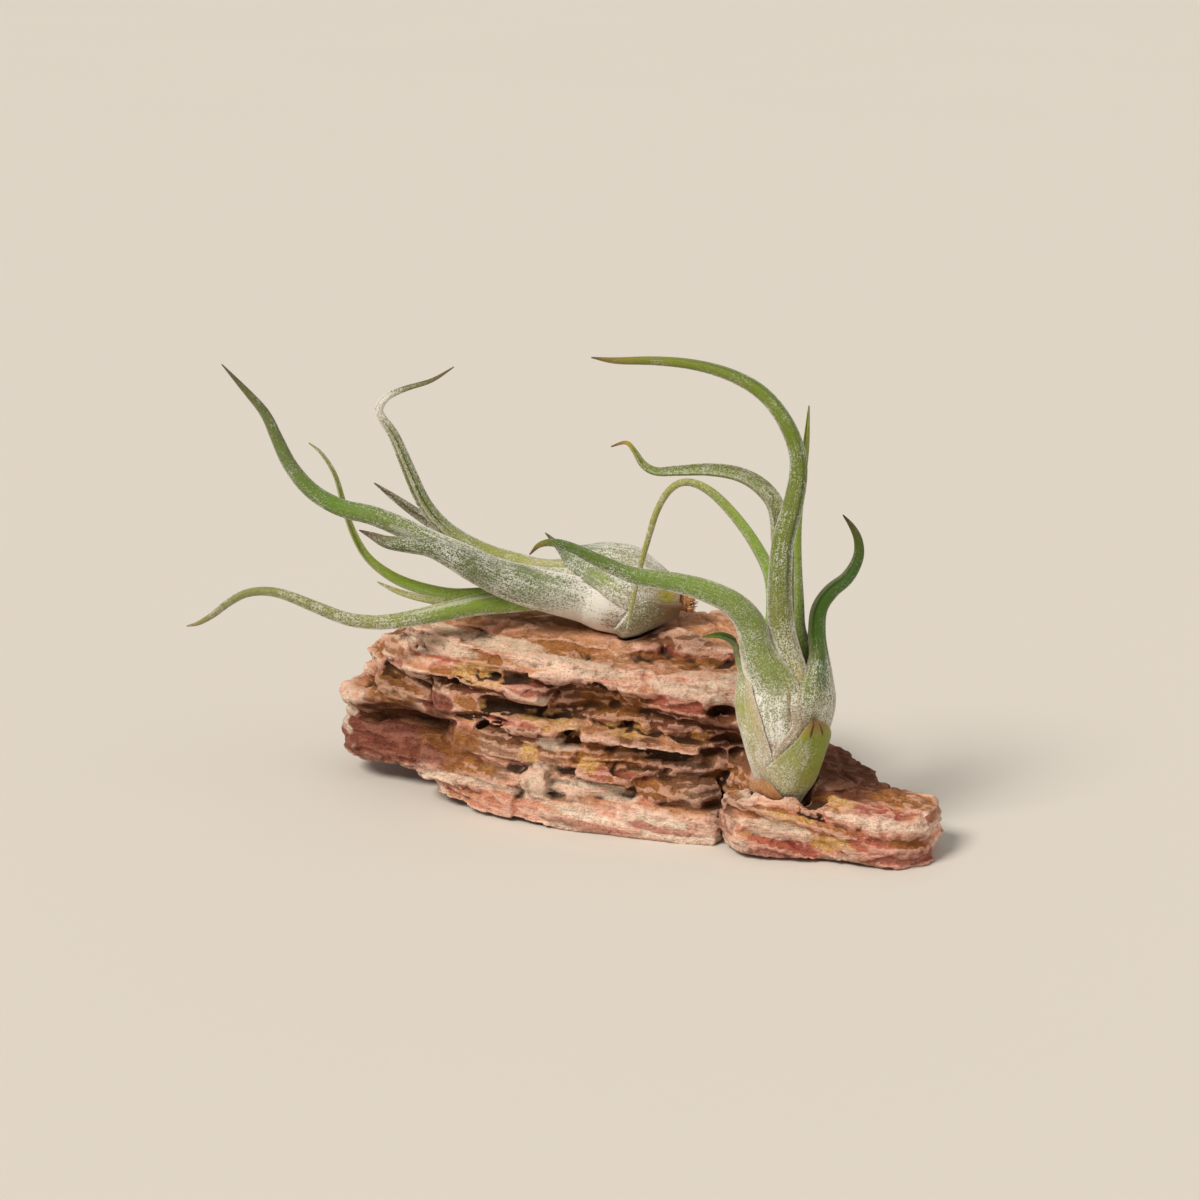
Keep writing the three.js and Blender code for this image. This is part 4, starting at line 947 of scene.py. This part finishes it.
def model_leaf(leaf, look):
    """A grid laid round the leaf's sections, given its thickness and rounded."""
    bulb = BULBS[leaf["bulb"]]
    centre, out, side, radius, half, sheath = leaf_sections(leaf, bulb)
    last = len(centre) - 1
    bpy.ops.object.select_all(action="DESELECT")
    bpy.ops.mesh.primitive_grid_add(x_subdivisions=LEAF_SIDES, y_subdivisions=last, size=2)
    piece = bpy.context.object
    flat = coordinates(piece.data)
    across = flat[:, 0]
    row = np.rint((flat[:, 1] + 1) / 2 * last).astype(int)
    edge = across**4

    inner = np.clip(radius - leaf["thickness"], radius * THINNEST_CORE, None)
    wall = (radius - inner)[row] * (1 - MARGIN_THINNING * edge)
    tuck = leaf["thickness"] * MARGIN_THINNING * MARGIN_TUCK * edge * sheath[row] * (leaf["share"] == 1)
    angle = across * half[row]
    own_slice = np.full(len(row), leaf["thickness"] * 9)
    place = np.stack([angle * radius[row], row * 1.0, own_slice], 1)
    reach = radius[row] * (1 + SWELL * drift(place, (5, 9, 1), 3)) - tuck
    outward, sideways = (reach * np.cos(angle))[:, None], (reach * np.sin(angle))[:, None]
    points = centre[row] + out[row] * outward + side[row] * sideways
    move_to(piece.data, points * MM)

    thickest = wall.max()
    group = piece.vertex_groups.new(name="wall")
    for i, share in enumerate(wall / thickest):
        group.add([i], float(share), "REPLACE")
    finish_with("SOLIDIFY", thickness=thickest * MM, offset=-1, vertex_group="wall", use_quality_normals=True)
    # inside: 1 on the inner wall of the rolled leaf; the skin paints a little light there.
    paint(piece.data, "inside", (np.arange(len(piece.data.vertices)) >= len(points)) * 1.0)
    finish_with("SUBSURF", levels=1, render_levels=1)
    # edge_sheen: 1 where the leaf turns edge-on to SHEEN_FRONT, 0 where it faces it, down to 1 - BACK_SHARE
    # on the far side; the skin paints sheen with it.
    facing = normals(piece.data) @ SHEEN_FRONT
    paint(piece.data, "edge_sheen", 1 - np.where(facing > 0, facing, -BACK_SHARE * facing))
    piece.vertex_groups.clear()
    hand_over(piece, leaf["name"], leaf["node"], leaf_finish(leaf, look))


# ---------------------------------------------------------------- stems
def model_stem(stem, look):
    """A turned foot, extruded ring by ring, with loose fibres round its end."""
    foot, axis = bulb_frame(BULBS[stem["bulb"]])[:2]
    profile = stem["profile"]
    bpy.ops.object.select_all(action="DESELECT")
    bpy.ops.mesh.primitive_circle_add(vertices=FOOT_SIDES, radius=profile[0][1] * MM, fill_type="NGON")
    piece = bpy.context.object
    bpy.ops.object.mode_set(mode="EDIT")
    for (low, narrow), (high, wide) in zip(profile, profile[1:]):
        rise = {"value": (0, 0, (high - low) * MM)}
        bpy.ops.mesh.extrude_region_move(TRANSFORM_OT_translate=rise)
        bpy.ops.transform.resize(value=(wide / narrow, wide / narrow, 1))
    bpy.ops.mesh.select_all(action="SELECT")
    bpy.ops.mesh.normals_make_consistent(inside=False)
    bpy.ops.object.mode_set(mode="OBJECT")
    finish_with("SUBSURF", levels=2, render_levels=2)
    shape = coordinates(piece.data)
    shape[:, 2] += profile[0][0] * MM
    away = shape * (1, 1, 0)
    core = np.clip(1 - np.linalg.norm(away, axis=1) / (CORE_RADIUS * MM), 0, 1)
    paint(piece.data, "core", core * (shape[:, 2] < 0))
    shape += away * FURROW_DEPTH * drift(shape, FURROW_SIZE, 5)[:, None]
    move_to(piece.data, shape)

    draw = np.random.default_rng(len(stem["name"]))
    fibres = []
    for i in range(stem["fibres"]):
        angle = 2 * math.pi * (i + draw.random() * 0.8) / stem["fibres"]
        ring = profile[1][1] * (0.72 + 0.4 * draw.random())
        length = stem["fibre_length"] * (0.5 + 0.8 * draw.random())
        wide = (0.2 + 0.5 * draw.random() ** 2) * MM
        bpy.ops.mesh.primitive_cone_add(vertices=5, radius1=wide, radius2=0.05 * MM, depth=length * MM)
        fibre = bpy.context.object
        fibre.rotation_euler = (math.pi + draw.normal() * 0.35, draw.normal() * 0.35, angle)
        low = profile[0][0] + 0.9 - length * 0.3
        fibre.location = (ring * math.cos(angle) * MM, ring * math.sin(angle) * MM, low * MM)
        fibres.append(fibre)
    pick(piece, *fibres)
    bpy.ops.object.join()
    piece.rotation_mode = "QUATERNION"
    piece.rotation_quaternion = Vector((0, 0, 1)).rotation_difference(Vector(axis))
    piece.location = Vector(foot * MM)
    bpy.ops.object.transform_apply(location=True, rotation=True, scale=True)
    hand_over(piece, stem["name"], stem["node"], fibre_finish(stem["name"] + "_fibre", look))


# ---------------------------------------------------------------- stone
def bed_height(points):
    """How high points (mm) lie in the stone's stack of beds."""
    right = ease(points[:, 0], BLOCK_START[0] - 4, BLOCK_START[0] + 8)
    block = right * ease(-points[:, 1], -BLOCK_START[1] - 6, -BLOCK_START[1] + 6)
    dip = BED_DIP + (BLOCK_DIP - BED_DIP) * block
    waves = 1.5 * drift(points, (34, 34, 20), 1) + 0.6 * drift(points, (12, 12, 9), 2)
    return points[:, 2] + dip * (points[:, 0] - BLOCK_START[0] * block) + BED_LEAN * points[:, 1] + waves


def shards(place, size, seed, level=None, tone=False):
    """Angular pieces which stand in or out and lean, each its own way: about -1.5 to 1.5.

    place has two columns with a level for each point, or three columns and no level. tone: one number
    from -1 to 1 for each piece instead.
    """
    place = place / size
    count = place.shape[1]
    cell = np.floor(place).astype(np.int64)
    nearest = np.full(len(place), np.inf)
    value = np.zeros(len(place))
    for step in product((-1, 0, 1), repeat=count):
        near = cell + np.array(step)
        key = near if level is None else np.column_stack([near, level])
        jitter = np.column_stack([lattice(key, seed + k) for k in (0, 1, 6)[:count]])
        away = place - (near + 0.5 + 0.45 * jitter)
        distance = (away**2).sum(axis=1)
        own = lattice(key, seed + 8) if tone else lattice(key, seed + 4)
        if not tone:
            own = own + sum(away[:, i] * lattice(key, seed + k) for i, k in enumerate((2, 3, 7)[:count]))
        value = np.where(distance < nearest, own, value)
        nearest = np.minimum(nearest, distance)
    return value


def nearness(points, middle, half):
    """1 in the middle of an egg-shaped place, 0 on its skin and less outside."""
    return 1 - (((points - middle) / half) ** 2).sum(axis=1)


def pits(points):
    """How far inside each hollow points lie: 0 outside to 1 near its middle."""
    return np.stack([ease(nearness(points, middle, half), 0, 0.7) for middle, half, _ in HOLLOWS])


def torn_3d(points):
    """The points shifted to and fro, so that what follows them has ragged edges."""
    shift = [amount * rough(points, (7, 7, 3), seed) for amount, seed in ((1.6, 71), (1.6, 72), (0.8, 74))]
    return points + np.column_stack(shift)


def torn(points):
    return torn_3d(points)[:, :2]


def bed_index(points, thickness):
    level = (bed_height(points) + 0.45 * rough(points, (5, 5, 3), 73)) / thickness
    index = np.floor(level)
    return index.astype(np.int64), level - index


def clearance(points):
    """How far points lie from the bulbs, in mm."""
    nearest = np.full(len(points), np.inf)
    for bulb in BULBS.values():
        foot, axis = bulb_frame(bulb)[:2]
        height = (points - foot) @ axis
        profile = np.array(bulb["profile"], float)
        radius = np.interp(height, profile[:, 0], profile[:, 1])
        clamped = np.clip(height, profile[0, 0], profile[-1, 0])
        away = np.linalg.norm(points - foot - clamped[:, None] * axis, axis=1)
        nearest = np.minimum(nearest, away - radius)
    return nearest


def front_elevation(points):
    """Across and up, in mm, as the eye sees the points."""
    up = np.array((0, math.sin(EYE_PITCH), math.cos(EYE_PITCH)))
    ray = points - EYE
    depth = ray @ -EYE_BACK
    return ray[:, 0] * EYE_RANGE / depth, (ray @ up) * EYE_RANGE / depth


def patch_field(points, kind):
    """0.5 on the patches' rims, more inside them and less outside."""
    across, up = front_elevation(points)
    across = across + 3.5 * rough(points, (8, 8, 4), 91)
    up = up + 1.6 * rough(points, (8, 8, 4), 92)
    field = np.full(len(points), -1.0)
    for middle, height, wide, tall in PATCHES[kind]:
        away = across - middle
        near = 1 - (away / (wide * 1.15)) ** 2 - ((up - height + PATCH_SLOPE * away) / (tall * 1.25)) ** 2
        field = np.maximum(field, near)
    return 0.5 + 0.42 * np.clip(field, -1, 1)


def smoothed(points, edges, rounds):
    """Each vertex moved to the middle of its neighbours, again and again."""
    degree = np.bincount(edges.ravel(), minlength=len(points))[:, None]
    for _ in range(rounds):
        total = np.zeros_like(points)
        for axis in range(3):
            total[:, axis] = np.bincount(edges[:, 0], points[edges[:, 1], axis], len(points))
            total[:, axis] += np.bincount(edges[:, 1], points[edges[:, 0], axis], len(points))
        points = total / degree
    return points


def weather_stone(mesh):
    """Breaks the skin into ledges bed by bed, splits the flats into flakes and roughens everything."""
    points = coordinates(mesh) / MM
    out = normals(mesh)
    upright = 1 - np.abs(out[:, 2]) ** 1.5
    sideways = out * (1, 1, 0)
    sideways /= np.maximum(np.linalg.norm(sideways, axis=1), 0.2)[:, None]
    flat = torn(points)
    shift = np.zeros(len(points))
    for thickness, size, relief, lip, seed in LEDGES:
        index, inside = bed_index(points, thickness)
        shift += relief * shards(flat, size, seed, index) + lip * (inside - 0.35)
    rise = np.zeros(len(points))
    level = np.round(points[:, 2] / FLAKE_LAYER).astype(np.int64)
    for size, relief, seed in FLAKES:
        rise += relief * shards(flat, size, seed, level)
    calm = ease(clearance(points), *CALM_RANGE)
    for middle, half, left in SMOOTH_PLACES:
        calm *= 1 - (1 - left) * ease(nearness(points, middle, half), 0, 0.5)
    push = sum(relief * shards(torn_3d(points), size, seed) for size, relief, seed in LUMPS) * calm
    moved = points + sideways * (shift * upright * calm)[:, None] + out * push[:, None]
    moved += pits(points).T @ np.array([inward for _, _, inward in HOLLOWS])
    moved[:, 2] += rise * (1 - upright) * calm
    grit, relief = GRIT
    moved += out * (relief * rough(points, grit, 51) * (0.3 + 0.7 * calm))[:, None]
    rest = points[:, 2] < REST_HEIGHT
    moved[:, 2] = np.where(rest, points[:, 2], np.maximum(moved[:, 2], 0.02))
    move_to(mesh, moved * MM)


def describe_stone(mesh):
    """Stores the mineral patches, the tones of the shards, and how proud or deep each place lies."""
    points = coordinates(mesh) / MM
    out = normals(mesh)
    edges = np.empty(len(mesh.edges) * 2, np.int32)
    mesh.edges.foreach_get("vertices", edges)
    edges = edges.reshape(-1, 2)
    stages = [points]
    for rounds in SMOOTHINGS:
        stages.append(smoothed(stages[-1], edges, rounds))
    near, far, farther = stages[1:]
    proud = np.einsum("ij,ij->i", points - near, out)
    deep = np.einsum("ij,ij->i", 0.6 * far + 0.4 * farther - points, out)
    flat = torn(points)
    beds = [(size, seed, bed_index(points, thickness)[0]) for thickness, size, _, _, seed in LEDGES]
    tones = [shards(flat, *bed, tone=True) for bed in beds]
    lump = shards(torn_3d(points), LUMPS[1][0], LUMPS[1][2], tone=True)
    fields = {kind: patch_field(points, kind) + 0.08 * tones[1] + 0.05 * lump for kind in PATCHES}
    for name, kinds in (("minerals", ("ochre", "cream", "grey")), ("stains", ("purple", "rose", "umber"))):
        paint(mesh, name, np.stack([fields[kind] for kind in kinds], 1))
    # deep: how far a place lies in a recess or one of the hollows; the finish paints shade with it, as it
    # paints highlight with proud.
    deep = 0.42 + 0.24 * deep + 0.5 * pits(points - out * 3).max(axis=0)
    relief_and_crust = np.stack([0.5 + proud * 1.8, deep, fields["yellow"]], 1)
    paint(mesh, "relief_and_crust", np.clip(relief_and_crust, 0, 1))
    tone = 0.5 + 0.2 * tones[0] + 0.16 * tones[1] + 0.1 * tones[2] + 0.08 * lump
    rust = 0.5 + 0.4 * rough(points, (26, 26, 14), 93) + 0.12 * lump
    paint(mesh, "tone", np.clip(np.stack([tone, rust, 0.5 + 0.5 * out[:, 2]], 1), 0, 1))


def model_stone(look):
    """The frame's stone, copied, remeshed fine, weathered and thinned out where it is plain."""
    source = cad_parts["stone"]
    pick(source)
    bpy.ops.object.duplicate()
    piece = bpy.context.object
    piece.parent = None
    for key in list(piece.keys()):
        del piece[key]
    bpy.ops.object.mode_set(mode="EDIT")
    bpy.ops.mesh.select_all(action="SELECT")
    bpy.ops.mesh.remove_doubles(threshold=0.01 * MM)
    bpy.ops.object.mode_set(mode="OBJECT")
    finish_with("REMESH", mode="VOXEL", voxel_size=look.coarse, adaptivity=0)
    weather_stone(piece.data)
    finish_with("REMESH", mode="VOXEL", voxel_size=look.grain, adaptivity=0)
    faces = 2 * len(piece.data.polygons)
    finish_with("DECIMATE", ratio=min(1, STONE_FACES / faces), use_collapse_triangulate=True)
    describe_stone(piece.data)
    hand_over(piece, "stone_rock", "stone", stone_finish(look))


# ---------------------------------------------------------------- stage
def set_stage(look):
    """A wide pale floor, soft light from the upper left and the camera."""
    bpy.ops.object.select_all(action="DESELECT")
    bpy.ops.mesh.primitive_circle_add(vertices=96, radius=9, fill_type="NGON", location=(0, 0, 0))
    floor = bpy.context.object
    floor.name = "floor"
    paper = Finish("floor_paper")
    spot = paper.spot()
    tone = paper.blend(paper.noise(spot, 3, 2) * 0.06, look.floor_colour[:], (0.5, 0.48, 0.45, 1))
    floor.data.materials.append(paper.surface(tone, 0.75, paper.bump(paper.noise(spot, 900, 2), 0.0001, 0.2)))

    world = bpy.data.worlds.new("soft_surroundings")
    bpy.context.scene.world = world
    world.use_nodes = True
    background = world.node_tree.nodes["Background"]
    background.inputs["Color"].default_value = look.sky_colour[:]
    background.inputs["Strength"].default_value = look.sky_strength

    def lamp(name, place, softness, strength, colour):
        bpy.ops.object.light_add(type="SUN", location=place)
        light = bpy.context.object
        light.name = name
        light.data.angle = math.radians(softness)
        light.data.energy = strength
        light.data.color = colour
        light.rotation_mode = "QUATERNION"
        light.rotation_quaternion = Vector(place).to_track_quat("Z", "Y")

    lamp("key_light", (-0.8, -0.75, 1.2), 22, look.key_power, (1, 0.96, 0.89))
    lamp("side_light", (1.1, -0.5, 0.6), 50, look.key_power * 0.12, (1, 0.93, 0.86))

    back = Vector((0, -math.cos(look.elevation), math.sin(look.elevation)))
    bpy.ops.object.camera_add(location=Vector(EYE_TARGET) * MM + back * look.distance)
    camera = bpy.context.object
    camera.name = "front_camera"
    camera.rotation_mode = "QUATERNION"
    camera.rotation_quaternion = back.to_track_quat("Z", "Y")
    camera.data.lens = look.lens
    camera.data.sensor_width = 36
    camera.data.sensor_height = 36
    camera.data.clip_start = 0.01
    bpy.context.scene.camera = camera
    bpy.context.scene.view_settings.view_transform = "Standard"


# ---------------------------------------------------------------- add-on
class AIRPLANT_OT_leaves(bpy.types.Operator):
    """Model the leaves and sheaths of both plants"""

    bl_idname = "airplant.leaves"
    bl_label = "Leaves"

    def execute(self, context):
        for leaf in LEAVES:
            model_leaf(leaf, context.scene.plant_look)
        return {"FINISHED"}


class AIRPLANT_OT_stems(bpy.types.Operator):
    """Model the dry feet of both plants"""

    bl_idname = "airplant.stems"
    bl_label = "Stems"

    def execute(self, context):
        for stem in STEMS:
            model_stem(stem, context.scene.plant_look)
        return {"FINISHED"}


class AIRPLANT_OT_stone(bpy.types.Operator):
    """Model the layered stone"""

    bl_idname = "airplant.stone"
    bl_label = "Stone"

    def execute(self, context):
        model_stone(context.scene.stone_look)
        return {"FINISHED"}


class AIRPLANT_OT_stage(bpy.types.Operator):
    """Set up the floor, the lights and the camera"""

    bl_idname = "airplant.stage"
    bl_label = "Stage"

    def execute(self, context):
        set_stage(context.scene.stage_look)
        return {"FINISHED"}


class AIRPLANT_PT_panel(bpy.types.Panel):
    """Lists the operators and their settings"""

    bl_label = "Air plants"
    bl_idname = "AIRPLANT_PT_panel"
    bl_space_type = "VIEW_3D"
    bl_region_type = "UI"
    bl_category = "Air plants"

    def draw(self, context):
        for entry in OPERATORS:
            self.layout.operator(entry.bl_idname)
        for group in (context.scene.plant_look, context.scene.stone_look, context.scene.stage_look):
            box = self.layout.box()
            for name in group.__annotations__:
                box.prop(group, name)


OPERATORS = (AIRPLANT_OT_stage, AIRPLANT_OT_leaves, AIRPLANT_OT_stems, AIRPLANT_OT_stone)
CLASSES = (PlantSettings, StoneSettings, StageSettings, *OPERATORS, AIRPLANT_PT_panel)


def register():
    for entry in CLASSES:
        bpy.utils.register_class(entry)
    bpy.types.Scene.plant_look = bpy.props.PointerProperty(type=PlantSettings)
    bpy.types.Scene.stone_look = bpy.props.PointerProperty(type=StoneSettings)
    bpy.types.Scene.stage_look = bpy.props.PointerProperty(type=StageSettings)


def unregister():
    del bpy.types.Scene.plant_look
    del bpy.types.Scene.stone_look
    del bpy.types.Scene.stage_look
    for entry in reversed(CLASSES):
        bpy.utils.unregister_class(entry)


def main():
    register()
    bpy.ops.airplant.stage()
    bpy.ops.airplant.leaves()
    bpy.ops.airplant.stems()
    bpy.ops.airplant.stone()


if __name__ == "__main__":
    main()
